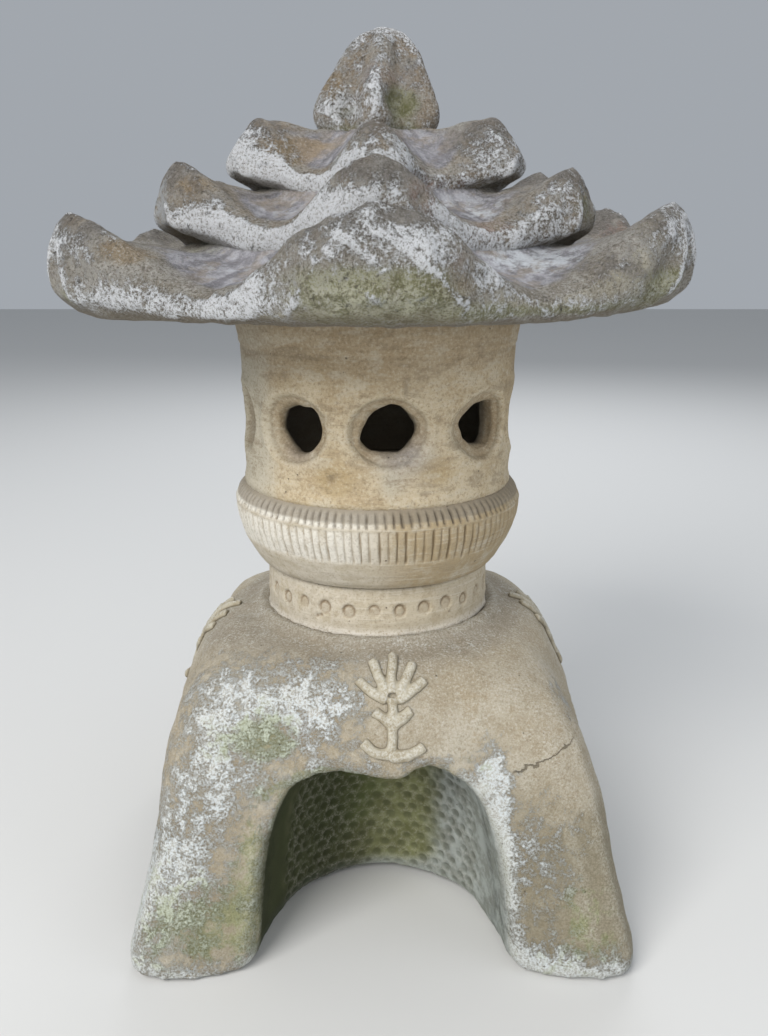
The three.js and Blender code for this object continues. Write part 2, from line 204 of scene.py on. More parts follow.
class Paint:
    """One material while it is mixed. Sizes are in mm."""

    def __init__(self, name):
        self.material = bpy.data.materials.new(name)
        self.material.use_nodes = True
        self.tree = self.material.node_tree
        self.tree.nodes.clear()
        self.place = self.node("ShaderNodeTexCoord", {}, {}, "Object")

    def node(self, kind, settings, inputs, output=0):
        made = self.tree.nodes.new(kind)
        for key, value in settings.items():
            setattr(made, key, value)
        for key, value in inputs.items():
            if isinstance(value, Tone):
                self.tree.links.new(value.socket, made.inputs[key])
            else:
                made.inputs[key].default_value = value
        return Tone(self, made.outputs[output])

    def mark(self, name):
        return self.node("ShaderNodeAttribute", {"attribute_name": name}, {}, "Fac")

    def grain(self, size, detail=3.0, rough=0.55, warp=0.0, place=None):
        return self.node("ShaderNodeTexNoise", {}, {
            "Vector": place or self.place, "Scale": MM / size, "Detail": detail,
            "Roughness": rough, "Distortion": warp,
        })

    def pits(self, size, place=None):
        return self.node("ShaderNodeTexVoronoi", {}, {
            "Vector": place or self.place, "Scale": MM / size,
        }, "Distance")

    def stretched(self, turn, scale):
        return self.node("ShaderNodeMapping", {}, {
            "Vector": self.place, "Rotation": [math.radians(t) for t in turn], "Scale": scale,
        })

    def step(self, value, low, high):
        return self.node("ShaderNodeMapRange", {"interpolation_type": "SMOOTHSTEP"}, {
            0: value, 1: low, 2: high, 3: 0.0, 4: 1.0,
        })

    def cover(self, mark, grain, soft=0.12):
        """Where a growth or stain shows: all over where the mark is 1, in islands where it is less."""
        return self.step(mark * 1.35 + self.step(grain, 0.38, 0.62), 1.02, 1.02 + 2 * soft)

    def mix(self, share, under, over):
        under, over = [c if isinstance(c, Tone) else (*c, 1.0) for c in (under, over)]
        return self.node("ShaderNodeMix", {"data_type": "RGBA"}, {0: share, 6: under, 7: over}, 2)

    def finish(self, colour, roughness, height, depth):
        """The surface shader; `height` is in units of `depth` mm."""
        bump = self.node("ShaderNodeBump", {}, {
            "Strength": 1.0, "Distance": depth / MM, "Height": height,
        })
        surface = self.node("ShaderNodeBsdfPrincipled", {}, {
            "Base Color": colour, "Roughness": roughness, "Normal": bump, "Specular IOR Level": 0.3,
        })
        end = self.tree.nodes.new("ShaderNodeOutputMaterial")
        self.tree.links.new(surface.socket, end.inputs["Surface"])
        return self.material


clay = blank("leg_base", BASE_GRAIN, 5)


def niche_place(clay):
    """Where each point lies as seen from the niche nearest to it: across, and out from the axis."""
    turn = np.radians(np.round(clay.angle / 90) * 90)
    across = clay.at[:, 0] * np.cos(turn) + clay.at[:, 1] * np.sin(turn)
    outward = clay.at[:, 0] * np.sin(turn) - clay.at[:, 1] * np.cos(turn)
    return turn, across, outward


def niche_wall(clay):
    """1 on the wall of a niche, 0 away from it."""
    _, across, outward = niche_place(clay)
    half = np.interp(clay.up, NICHE_UP, NICHE_HALF) + 0.01
    round_it = np.hypot(across / half, (NICHE_MIDDLE - outward) / (half * NICHE_DRAW))
    crown = fade(clay.up, 118, 134) * (np.abs(across) < 62) * (clay.facing[:, 2] < -0.25)
    wall = (round_it > 0.8) & (round_it < 1.2) & (clay.facing[:, 2] < 0.35)
    return np.maximum(wall, crown) * (outward < 146) * (outward > 40) * (clay.up < 156)


def finer(clay, where):
    """The same clay with twice as many points along the faces where it is wanted."""
    work = bmesh.new()
    work.from_mesh(clay.mesh)
    work.verts.ensure_lookup_table()
    wanted = [e for e in work.edges if where[e.verts[0].index] and where[e.verts[1].index]]
    bmesh.ops.subdivide_edges(work, edges=wanted, cuts=1, use_grid_fill=True)
    work.to_mesh(clay.mesh)
    work.free()
    return Clay(clay.mesh)


clay = finer(clay, niche_wall(clay) > 0.3)
turn, across, outward = niche_place(clay)

# The rim of each arch is rubbed round, then rolled over, with a point in the middle of its crown.
low, high = np.zeros(len(clay.at)) + 1e9, np.linspace(0, 148, 60)
for height, half in zip(high, np.interp(high, NICHE_UP, NICHE_HALF)):
    low = np.minimum(low, np.hypot(np.abs(across) - half, clay.up - height))
for half in np.linspace(0, 42, 16):
    crown_up = 148 - 9 * math.exp(-((half / 17) ** 2))
    low = np.minimum(low, np.hypot(np.abs(across) - half, clay.up - crown_up))
arch = low
face_on = fade(outward, 112, 134)
clay.even(26, np.exp(-((arch / 9) ** 2)) * face_on)
outer = fade((clay.facing * np.stack([np.sin(turn), -np.cos(turn), 0 * turn], 1)).sum(1), 0.1, 0.6)
clay.push(2.6 * np.exp(-(((arch - 6) / 6) ** 2)) * face_on * outer)
slide = 8 * np.exp(-((across / 30) ** 2) - ((clay.up - 143) / 22) ** 2) * face_on
clay.at += slide[:, None] * np.stack([np.cos(turn), np.sin(turn), 0 * turn], 1)
lift = -6 * fade(across, 24, 4) * fade(across, -66, -34) - 2.5 * fade(across, 8, 30) * fade(across, 66, 40)
clay.at[:, 2] += lift * np.exp(-(((clay.up - 146) / 16) ** 2)) * face_on

# The block leans a little and its left shoulder is fuller. Its feet spread at the ground, and the
# clay was drawn up into a soft fillet against the foot ring.
clay.at[:, 0] += 3.5 * fade(clay.at[:, 2], 205, 90)
clay.settle()
clay.push(4.5 * patch(clay.at, (-125, -60, 165), 60) - 2 * patch(clay.at, (110, -80, 185), 45))
wall = niche_wall(clay)
legs = fade(np.abs(np.abs(clay.angle) % 90 - 45), 30, 12) * fade(clay.out, 150, 190)
clay.at[:, :2] *= (1 + (0.012 + 0.026 * fade(clay.up, 90, 0)) * legs)[:, None]
clay.at[:, 2] += 5 * np.exp(-(((clay.out - 88) / 7) ** 2)) * (clay.out > 84.5) * (clay.up > 195)
clay.settle()
rough = 1.3 * lumps(clay.at, 52, 1) + 0.8 * lumps(clay.at, 21, 2) + 0.4 * lumps(clay.at, 9, 3)
flat_bed = fade(clay.out, 84, 90) * fade(clay.up, 1, 9)
clay.push(rough * flat_bed * (1 - 0.5 * wall))

# Fingertip marks on the niche walls, in staggered rows, none of them quite round or in line.
turn, across, outward = niche_place(clay)
spread = np.degrees(np.arctan2(across, NICHE_MIDDLE - outward)) * 1.5
marks = np.full(len(clay.at), 99.0)
row = np.round(clay.up / PRESS_ROW)
for near_row in (-1, 0, 1):
    this = row + near_row
    shift = np.where(this % 2 == 0, 0, PRESS_PITCH / 2) + 11 * np.round(clay.angle / 90)
    column = np.round((spread - shift) / PRESS_PITCH)
    for near_column in (-1, 0, 1):
        cell = np.stack([column + near_column, this, 5 * np.round(clay.angle / 90)], 1)
        from_left = (column + near_column) * PRESS_PITCH + shift + 2.4 * lumps(cell, 0.37, 4)
        from_floor = this * PRESS_ROW + 2.1 * lumps(cell, 0.41, 5)
        size = PRESS_REACH * (1 + 0.24 * lumps(cell, 0.43, 6))
        marks = np.minimum(marks, np.hypot(spread - from_left, clay.up - from_floor) / size)
pressed = wall * fade(arch, 9, 15) * fade(clay.up, 4, 12)
dish = np.clip(1 - marks**2, 0, 1) ** 1.5
clay.push(-PRESS_DEPTH * dish * pressed * (0.85 + 0.3 * lumps(clay.at, 16, 10)))

# The thin edge at the foot of each niche is broken, and the clay has a few deep pinholes.
ragged = np.clip(lumps(clay.at, 13, 7) + 0.7 * lumps(clay.at, 5, 8), 0, 2) * wall
clay.push(2.6 * ragged * fade(clay.up, 11, 1), (0, 0, 1))
for centre, size in (((-52, -122, 190), 3), ((96, -24, 205), 3), ((120, -100, 176), 3)):
    clay.push(-2.2 * patch(clay.at, centre, size))
clay.even(6, fade(clay.up, 10, 3) * (1 - wall))
clay.even(20, fade(clay.up, 16, 6) * fade(np.abs(np.abs(clay.angle) % 90 - 45), 9, 5))
clay.at[:, 2] = np.maximum(clay.at[:, 2], 0)
clay.settle()

at = clay.at
drift = 0.5 + 0.5 * lumps(at, 34, 9)
legs = fade(clay.up, 190, 40) * (1 - wall)
ridge = fade(np.abs(np.abs(clay.angle) % 90 - 45), 26, 8)
faces_out = (clay.facing * np.stack([np.sin(turn), -np.cos(turn), 0 * turn], 1)).sum(1)
# the inner faces of each arch's sides join the niche wall, so the niche's dark colours and its painted shadow
# reach them
lip = fade(faces_out, 0.85, 0.4) * fade(arch, 46, 32) * (outward < 152) * (clay.up < 156)
inner = clay.evened(np.maximum(wall * fade(arch, 3, 12), lip)[:, None], 4)[:, 0]
clay.marks["wall"] = inner
# the fingertip dishes, darkened in the paint: painted shade in the hollows
clay.marks["dish"] = dish * pressed
clay.marks["worn"] = fade(clay.proud(3), 0.02, 0.22)
clay.marks["seat"] = (
    fade(clay.out, 150, 96) * (1 - wall) * fade(clay.up, 150, 190)
    + 0.7 * patch(clay.at, (-110, -60, 192), (40, 50, 30))
)
clay.marks["lime"] = (
    0.62 * patch(at, (-100, -116, 184), (50, 40, 32)) + 0.6 * patch(at, (-100, -142, 136), (34, 40, 36))
    + 0.85 * patch(at, (-136, -150, 66), (44, 60, 66)) + 1.0 * patch(at, (-172, -150, 60), (14, 40, 80))
    + 0.85 * patch(at, (74, -142, 135), (15, 30, 26)) + 0.75 * patch(at, (80, -149, 84), (9, 40, 50))
    + 0.55 * patch(at, (108, -155, 84), (34, 40, 54)) + 0.75 * patch(at, (126, -160, 8), (60, 60, 20))
    + 0.66 * patch(at, (-36, -128, 178), (46, 40, 34)) + 0.5 * patch(at, (128, -95, 176), (16, 30, 40))
    + 0.42 * np.exp(-(((arch - 3) / 6) ** 2)) * face_on + 0.4 * fade(clay.up, 20, 4) * (1 - wall)
    + 0.7 * legs * ridge * drift * fade(at[:, 1], -60, 10)
)
clay.marks["green"] = (
    0.85 * patch(at, (-82, -136, 161), (32, 24, 14)) + 0.5 * patch(at, (-70, -136, 176), (16, 20, 20))
    + 1.1 * patch(at, (-82, -128, 60), (13, 40, 64)) + 0.7 * patch(at, (-126, -165, 46), (34, 40, 36))
    + 0.5 * patch(at, (140, -150, 40), (20, 40, 24)) + 0.5 * patch(at, (66, -140, 140), (14, 24, 14))
    + 0.6 * legs * (1 - ridge) * drift * fade(at[:, 1], -60, 20) + 0.3 * legs * drift
    + wall * (0.85 * fade(across, 20, -50) + 0.75 * patch(at, (-5, -60, 80), (34, 40, 46)))
)
# darker lower legs, more on the right: painted shade where little light reaches the lower legs, partly damp
# clay
clay.marks["damp_and_low_shade"] = legs * (0.45 + 0.55 * fade(at[:, 0], 40, 100) + 0.3 * lumps(at, 40, 12))
# painted shadow over the left of each niche and the inner face of its left side
clay.marks["shade"] = inner * fade(across, 18, -38)
clay.marks["front"] = fade(at[:, 1], -80, -100)
clay.marks["bleached"] = inner * (fade(across, 20, 70) + 0.6 * fade(clay.up, 26, 4))


def base_finish():
    paint = Paint("weathered_base_clay")
    fine = paint.grain(1.6, 7, 0.82)
    cloud = paint.grain(15, 7, 0.68)
    broad = paint.grain(60, 6, 0.62)
    islands = paint.grain(11, 9, 0.74, 0.3)
    grit = paint.step(fine, 0.4, 0.6)
    wall, green, lime = paint.mark("wall"), paint.mark("green"), paint.mark("lime")
    tone = paint.step(broad * 0.6 + cloud * 0.4, 0.4, 0.6)
    colour = paint.mix(tone, (0.37, 0.315, 0.225), (0.49, 0.45, 0.365))
    colour = paint.mix(paint.step(cloud, 0.48, 0.64) * 0.7, colour, (0.33, 0.26, 0.16))
    colour = paint.mix(paint.step(fine, 0.51, 0.6) * 0.45, colour, (0.62, 0.59, 0.51))
    colour = paint.mix(paint.step(fine, 0.48, 0.38) * 0.55, colour, (0.2, 0.165, 0.11))
    # the lower legs darkened: painted shade, partly damp clay
    damp_and_low_shade = paint.step(paint.mark("damp_and_low_shade") + cloud * 0.6, 0.4, 1.1)
    colour = paint.mix(damp_and_low_shade * 0.85, colour, paint.mix(grit, (0.2, 0.17, 0.11), (0.3, 0.27, 0.195)))
    seat = paint.step(paint.mark("seat") + cloud * 0.6, 0.7, 1.3)
    colour = paint.mix(seat * 0.55, colour, paint.mix(grit, (0.2, 0.175, 0.14), (0.32, 0.295, 0.25)))
    flecks = paint.cover(0.14 + seat * 0.12, fine * 0.6 + islands * 0.4, 0.15)
    colour = paint.mix(flecks * 0.65, colour, (0.6, 0.6, 0.57))
    crusted = paint.cover(lime, islands * 0.45 + fine * 0.35 + cloud * 0.2, 0.3)
    colour = paint.mix(crusted * (0.35 + 0.65 * paint.step(fine, 0.44, 0.54)), colour, (0.64, 0.68, 0.69))
    deep = paint.mix(paint.step(cloud, 0.38, 0.62), (0.15, 0.155, 0.065), (0.235, 0.245, 0.115))
    grey = paint.mix(paint.step(cloud, 0.4, 0.6), (0.24, 0.255, 0.225), (0.38, 0.41, 0.385))
    inside = paint.mix(paint.step(paint.mark("bleached") + cloud * 0.4, 0.35, 0.95), deep, grey)
    # the fingertip dishes darkened: painted shade in the hollows
    inside = paint.mix(paint.step(paint.mark("dish"), 0.1, 0.7) * 0.42, inside, (0.075, 0.08, 0.05))
    inside = paint.mix(paint.step(green * 0.7 + cloud * 0.6, 0.75, 1.1) * 0.55, inside, (0.12, 0.16, 0.045))
    # painted shadow on the left of the niche
    inside = paint.mix(paint.mark("shade") * 0.8, inside, (0.022, 0.026, 0.01))
    colour = paint.mix(wall, colour, inside)
    grown = paint.cover(green, islands * 0.5 + cloud * 0.5, 0.3) * (1 - wall)
    colour = paint.mix(grown * 0.55, colour, paint.mix(grit, (0.16, 0.195, 0.06), (0.37, 0.41, 0.21)))
    colour = paint.mix(paint.mark("worn") * grit * 0.25, colour, (0.7, 0.68, 0.6))
    dots = paint.step(paint.pits(8.0), 0.1, 0.05) * paint.step(cloud, 0.5, 0.56)
    colour = paint.mix(dots * 0.7, colour, (0.1, 0.08, 0.055))
    across = paint.node("ShaderNodeSeparateXYZ", {}, {0: paint.place}, 0)
    up = paint.node("ShaderNodeSeparateXYZ", {}, {0: paint.place}, 2)
    line = up - 0.4 * across - 0.1052 + (paint.grain(9, 3, 0.6) - 0.5) * 0.012
    crack = paint.step(line * line, 0.0000007, 0.0000001) * paint.step(across, 0.088, 0.091)
    crack = crack * paint.step(across, 0.136, 0.126) * paint.step(paint.mark("front"), 0.4, 0.6)
    colour = paint.mix(crack * 0.75, colour, (0.12, 0.1, 0.065))
    height = fine * 0.7 + cloud * 0.5 + islands * 0.4 + crusted * 0.3 - dots * 0.6 - crack * 0.6
    return paint.finish(colour, 0.84 + 0.14 * fine, height, 1.8)


base = clay.piece("leg_base_clay", base_finish())
base_clay = clay
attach(base, "base")
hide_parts("leg_base")

# ---------------------------------------------------------------- the applied lotuses
# Four reliefs rolled from strips of soft clay, a lotus on a stem between two leaves, pressed onto the
# shoulder over each niche before the firing. The strips have slumped, and dirt lies along them.
STRIP = 3.7  # half the width of a strip
STRIP_STANDS = 0.92  # its height over its half width, once pressed down
LOTUS_MIDDLE = (10.0, -121.6, 175.6)  # on the front; the others are turned about the lantern's axis
LOTUS_SLOPE = math.radians(52)
LOTUS_STRIPS = (  # across and up the shoulder, mm
    ((0, 8), (-0.6, 22), (0.8, 36)),
    ((-3, 7), (-9, 18), (-13, 30)), ((3, 7), (10, 17), (13.5, 29)),
    ((-4, 4), (-14, 8), (-22, 17)), ((4, 4), (14, 9), (21, 18)),
    ((0, 5), (1, -10), (-0.5, -33)),
    ((-0.5, -30), (-10, -31), (-19, -22)), ((0, -31), (11, -33), (21, -25)),
    ((-12, -3), (-6, -7), (0, -13)), ((13, -2), (7, -7), (0, -14)),
)


def lotus_blank():
    """The strips laid out flat, as one closed skin: x across, y up the shoulder, z off the clay."""
    curve = bpy.data.curves.new("strips", "CURVE")
    curve.dimensions = "3D"
    curve.bevel_depth = STRIP
    curve.bevel_resolution = 5
    curve.use_fill_caps = True
    for points in LOTUS_STRIPS:
        strip = curve.splines.new("NURBS")
        strip.points.add(len(points) - 1)
        strip.use_endpoint_u = True
        strip.order_u = 3
        for point, (across, up) in zip(strip.points, points):
            point.co = (across, up, 0, 1)
    laid = bpy.data.objects.new("strips", curve)
    bpy.context.scene.collection.objects.link(laid)
    skin = laid.modifiers.new("skin", "REMESH")
    skin.mode = "VOXEL"
    skin.voxel_size = 0.85
    graph = bpy.context.evaluated_depsgraph_get()
    mesh = bpy.data.meshes.new_from_object(laid.evaluated_get(graph))
    bpy.data.objects.remove(laid)
    return mesh


def lotus_finish():
    paint = Paint("applied_clay")
    fine = paint.grain(1.6, 4, 0.7)
    cloud = paint.grain(9, 3, 0.6)
    low, worn = paint.mark("low"), paint.mark("worn")
    colour = paint.mix(paint.step(cloud, 0.36, 0.64), (0.32, 0.28, 0.2), (0.42, 0.385, 0.3))
    colour = paint.mix(paint.step(fine, 0.46, 0.3) * 0.4, colour, (0.17, 0.145, 0.1))
    colour = paint.mix(worn * paint.step(fine, 0.4, 0.65) * 0.6, colour, (0.62, 0.62, 0.58))
    colour = paint.mix(low * 0.85, colour, (0.12, 0.1, 0.065))
    return paint.finish(colour, 0.86 + 0.12 * fine, fine * 0.6 + cloud * 0.5, 1.0)


shoulder = BVHTree.FromPolygons(
    [tuple(p) for p in base_clay.at], [tuple(f.vertices) for f in base_clay.mesh.polygons]
)
lotus_clay = lotus_finish()
for count, side in enumerate(("front", "right", "back", "left")):
    mesh = lotus_blank()
    clay = Clay(mesh)
    clay.at = clay.at / MM
    clay.at[:, :2] += np.stack([lumps(clay.at, 16, 21 + count), lumps(clay.at, 14, 26 + count)], 1)
    clay.settle()
    clay.push(0.4 * lumps(clay.at, 6, 31 + count) + 0.2 * lumps(clay.at, 2.6, 22))
    turn_to = math.radians(90 * count)
    right_way = np.array([math.cos(turn_to), math.sin(turn_to), 0])
    out_way = np.array([math.sin(turn_to), -math.cos(turn_to), 0])
    up_way = -math.cos(LOTUS_SLOPE) * out_way + np.array([0, 0, math.sin(LOTUS_SLOPE)])
    off_way = math.sin(LOTUS_SLOPE) * out_way + np.array([0, 0, math.cos(LOTUS_SLOPE)])
    middle_at = LOTUS_MIDDLE[0] * right_way - LOTUS_MIDDLE[1] * out_way + np.array([0, 0, LOTUS_MIDDLE[2]])
    laid, height = [], clay.at[:, 2].copy()
    for across, up, stands in clay.at:
        start = middle_at + across * right_way + up * up_way + 40 * off_way
        found, facing, _, _ = shoulder.ray_cast(Vector(start), Vector(-off_way))
        laid.append(np.array(found) + np.array(facing) * (max(stands, -1.5) * STRIP_STANDS))
    clay.at = np.array(laid)
    clay.settle()
    clay.even(2)
    clay.marks["worn"] = fade(height, 2.2, 3.4)
    clay.marks["low"] = fade(height, 2.0, 0.4)
    lotus = clay.piece("lotus_" + side, lotus_clay)
    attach(lotus, "base")
    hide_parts("ornament_" + side)

# ---------------------------------------------------------------- the foot ring
# A plain thrown ring that lifts the bowl off the base. A hollow reed was stamped into it all the way
# round while it was soft, and its lower edge is smeared down onto the shoulder.
ring_low, ring_high = (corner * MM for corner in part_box("foot_ring"))
RING_OUT = ring_high.x
RING_BORE = 63.0
STAMPS = 29
STAMP_FIRST = -75.7  # degrees from the front
STAMP_UP = 20.5  # above the ring's foot
STAMP_RADIUS = 4.3


def turned(points, rounding, steps):
    """A thrown form in clay. Each point of its outline is a radius, a height and the spacing of the
    points up to the next one; the corners are rubbed round, and the outline is spun about +Z."""
    closed = points[0][:2] == points[-1][:2]
    chain = []
    for (r, z, gap), (r_next, z_next, _) in zip(points, points[1:]):
        count = max(1, round(math.hypot(r_next - r, z_next - z) / gap))
        chain += [(r + (r_next - r) * k / count, z + (z_next - z) * k / count) for k in range(count)]
    chain = np.array(chain if closed else chain + [points[-1][:2]])
    for _ in range(rounding):
        near = (np.roll(chain, 1, 0) + np.roll(chain, -1, 0)) / 2
        if not closed:
            near[[0, -1]] = chain[[0, -1]]
        chain = (chain + near) / 2
    work = bmesh.new()
    verts = [work.verts.new((0, -r / MM, z / MM)) for r, z in chain]
    pairs = list(zip(verts, verts[1:])) + ([(verts[-1], verts[0])] if closed else [])
    edges = [work.edges.new(pair) for pair in pairs]
    bmesh.ops.spin(
        work, geom=verts + edges, cent=(0, 0, 0), axis=(0, 0, 1), dvec=(0, 0, 0),
        angle=2 * math.pi, steps=steps, use_merge=True,
    )
    bmesh.ops.remove_doubles(work, verts=work.verts, dist=1e-6)
    bmesh.ops.recalc_face_normals(work, faces=work.faces)
    mesh = bpy.data.meshes.new("turned")
    work.to_mesh(mesh)
    work.free()
    return Clay(mesh)


clay = turned([
    (RING_BORE, ring_low.z, 3), (RING_OUT - 1, ring_low.z, 1.2), (RING_OUT, ring_low.z + 12, 1.1),
    (RING_OUT - 0.5, ring_high.z, 3), (RING_BORE, ring_high.z, 3), (RING_BORE, ring_low.z, 3),
], 5, 520)
outside = fade(clay.out, RING_OUT - 6, RING_OUT - 2)
seam = 1.7 * fade(clay.up, ring_low.z + 7, ring_low.z + 1) * (1 + 0.6 * lumps(clay.at, 7, 31))
clay.push((seam + 0.5 * lumps(clay.at, 24, 32) + 0.22 * lumps(clay.at, 6, 33)) * outside)
stamped = np.zeros(len(clay.at))
for k in range(STAMPS):
    turn_to = math.radians(STAMP_FIRST + 360 * k / STAMPS)
    up_to = ring_low.z + STAMP_UP + 0.7 * math.sin(2.3 * k) - 0.4 * math.cos(5.1 * k)
    centre = np.array([RING_OUT * math.sin(turn_to), -RING_OUT * math.cos(turn_to), up_to])
    far = np.linalg.norm((clay.at - centre) * (1, 1, 0.93), axis=1) / (1 + 0.07 * math.sin(1.7 * k))
    lean = (clay.up - up_to) / 9
    press = np.exp(-(((far - STAMP_RADIUS + 0.6) / 1.0) ** 2)) * (1.2 + lean + 0.2 * math.sin(3.9 * k))
    stamped = np.maximum(stamped, np.maximum(press, 0.62 * fade(far, STAMP_RADIUS + 0.2, STAMP_RADIUS - 1)))
for degrees, up_to in ((-30.4, 222.5), (-28.2, 223.6)):
    turn_to = math.radians(degrees)
    centre = (RING_OUT * math.sin(turn_to), -RING_OUT * math.cos(turn_to), up_to)
    stamped = stamped + 1.5 * patch(clay.at, centre, 1.3)
clay.push(-1.3 * stamped * outside)
clay.marks["low"] = fade(stamped, 0.3, 1.3) * outside
clay.marks["seam"] = fade(clay.up, ring_low.z + 9, ring_low.z + 2) * outside
clay.marks["side"] = fade(clay.at[:, 0], -50, 40)


def ring_finish():
    paint = Paint("thrown_cream_clay")
    fine = paint.grain(1.7, 7, 0.8)
    cloud = paint.grain(12, 6, 0.66)
    thrown = paint.grain(5, 4, 0.6, 0.0, paint.stretched((0, 0, 0), (0.12, 0.12, 3.2)))
    colour = paint.mix(paint.step(cloud, 0.38, 0.62), (0.43, 0.375, 0.28), (0.56, 0.52, 0.44))
    colour = paint.mix(paint.mark("side") * paint.step(cloud, 0.35, 0.6) * 0.7, colour, (0.43, 0.36, 0.24))
    colour = paint.mix(paint.step(thrown, 0.5, 0.7) * 0.3, colour, (0.66, 0.62, 0.53))
    colour = paint.mix(paint.step(cloud, 0.5, 0.62) * 0.5, colour, (0.33, 0.27, 0.18))
    colour = paint.mix(paint.step(fine, 0.48, 0.38) * 0.5, colour, (0.22, 0.175, 0.115))
    colour = paint.mix(paint.mark("low") * 0.85, colour, (0.19, 0.135, 0.075))
    rubbed = paint.mark("seam") * paint.step(fine, 0.36, 0.56)
    colour = paint.mix(rubbed * 0.7, colour, (0.66, 0.64, 0.6))
    dots = paint.step(paint.pits(8.0), 0.09, 0.05) * paint.step(cloud, 0.5, 0.56)
    colour = paint.mix(dots * 0.8, colour, (0.12, 0.085, 0.055))
    return paint.finish(colour, 0.84 + 0.12 * fine, fine * 0.5 + thrown * 0.5 + cloud * 0.3 - dots, 1.0)


ring = clay.piece("foot_ring_clay", ring_finish())
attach(ring, "fire_box")
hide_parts("foot_ring")

# ---------------------------------------------------------------- the ribbed bowl
# The thrown bowl that holds the light. Its bulge was notched with a knife in two rows, a short one
# on top and a longer one below, about a hundred strokes each, and dirt has stayed in the upper row.
bowl_low, bowl_high = (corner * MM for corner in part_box("ribbed_bowl"))
BOWL_FLOOR = 20.0  # thickness of the floor
BOWL_BORE = 80.5
RIBS = 108
bulge = ((86, 0), (90.2, 4), (95.5, 13.2), (99, 20), (101.5, 27), (104, 35), (105, 43), (104.6, 48),
         (102.5, 54), (99.4, 57.4), (97.3, 59.2), (95.8, 60))
outline = [(0, bowl_low.z, 8), (84, bowl_low.z, 0.9)]
outline += [(r, bowl_low.z + z, 0.9) for r, z in bulge]
outline += [
    (BOWL_BORE, bowl_high.z, 4), (BOWL_BORE - 1, bowl_low.z + BOWL_FLOOR + 14, 3),
    (BOWL_BORE - 6, bowl_low.z + BOWL_FLOOR + 5, 3), (BOWL_BORE - 14, bowl_low.z + BOWL_FLOOR, 8),
    (0, bowl_low.z + BOWL_FLOOR, 8),
]
clay = turned(outline, 3, 756)
outside = fade(clay.out, 84, 88) * (clay.up > bowl_low.z + 1)
around = clay.angle / 360 * RIBS
ring_line = np.stack([clay.angle, 0 * clay.angle, 0 * clay.angle], 1)
around = around + 0.16 * lumps(ring_line, 4.1, 41) + 0.3 * lumps(ring_line, 33, 42)
stroke = np.abs((around + 0.006 * (clay.up - 280)) % 1 - 0.5)
one_rib = np.stack([np.floor(around), 0 * around, 0 * around], 1)
upper_stroke = np.abs((around * 1.04 + 0.3 + 0.01 * (clay.up - 300)) % 1 - 0.5)
long_row = fade(clay.up, 268.5 + 1.3 * lumps(one_rib, 0.7, 43), 272) * fade(clay.up, 294.5, 291.5)
short_row = fade(clay.up, 294.5, 296.5) * fade(clay.up, 306.2 + 0.7 * lumps(one_rib, 0.8, 44), 303.5)
cut = fade(stroke, 0.155, 0.05) * long_row * (0.9 + 0.35 * lumps(one_rib, 0.9, 45))
nick = fade(upper_stroke, 0.22, 0.08) * short_row * (1 + 0.3 * lumps(one_rib, 0.6, 46))
clay.push((0.7 * lumps(clay.at, 30, 47) + 0.25 * lumps(clay.at, 7, 48)) * outside)
clay.push((-1.5 * cut - 1.8 * nick + 0.5 * np.exp(-(((clay.up - 294.8) / 1.4) ** 2))) * outside)
clay.marks["cut"] = cut * outside
clay.marks["nick"] = nick * outside
clay.marks["band"] = np.maximum(long_row, short_row) * outside
clay.marks["upper"] = fade(clay.up, 294, 300) * outside
clay.marks["side"] = fade(clay.at[:, 0] + 14 * lumps(clay.at, 22, 49), -30, 30)
clay.marks["inside"] = 1 - fade(clay.out, 82, 86)


def bowl_finish():
    paint = Paint("notched_clay")
    fine = paint.grain(1.7, 7, 0.8)
    speck = paint.grain(2.8, 5, 0.7)
    cloud = paint.grain(13, 6, 0.66)
    thrown = paint.grain(5, 4, 0.6, 0.0, paint.stretched((0, 0, 0), (0.12, 0.12, 3.2)))
    side, band = paint.mark("side"), paint.mark("band")
    colour = paint.mix(paint.step(cloud, 0.38, 0.62), (0.44, 0.39, 0.3), (0.55, 0.51, 0.43))
    colour = paint.mix(band * (1 - side) * paint.step(cloud, 0.25, 0.5), colour, (0.64, 0.615, 0.55))
    colour = paint.mix(side * paint.step(cloud, 0.3, 0.55) * 0.9, colour, (0.34, 0.26, 0.145))
    colour = paint.mix(paint.step(thrown, 0.5, 0.7) * 0.3, colour, (0.64, 0.6, 0.52))
    colour = paint.mix(paint.step(cloud, 0.52, 0.64) * 0.4, colour, (0.33, 0.275, 0.19))
    colour = paint.mix(paint.step(fine, 0.48, 0.38) * 0.5, colour, (0.22, 0.175, 0.115))
    colour = paint.mix(paint.mark("cut") * (0.62 + 0.3 * side), colour, (0.2, 0.145, 0.08))
    soiled = paint.step(paint.mark("upper") + cloud * 0.5, 0.9, 1.3)
    colour = paint.mix(soiled * 0.8, colour, (0.23, 0.2, 0.155))
    packed = paint.mark("nick") * (0.5 + 0.4 * paint.step(cloud, 0.4, 0.6))
    colour = paint.mix(packed, colour, (0.12, 0.1, 0.075))
    flakes = paint.cover(0.06 * side * band + 0.04, fine * 0.6 + speck * 0.4, 0.2)
    colour = paint.mix(flakes * 0.55, colour, (0.68, 0.66, 0.6))
    dots = paint.step(paint.pits(9.0), 0.09, 0.05) * paint.step(cloud, 0.5, 0.56)
    colour = paint.mix(dots * 0.8, colour, (0.12, 0.085, 0.055))
    colour = paint.mix(paint.mark("inside") * 0.75, colour, (0.12, 0.1, 0.075))
    return paint.finish(colour, 0.84 + 0.12 * fine, fine * 0.5 + thrown * 0.45 + cloud * 0.3 - dots, 1.0)


bowl = clay.piece("ribbed_bowl_clay", bowl_finish())
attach(bowl, "fire_box")
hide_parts("ribbed_bowl")

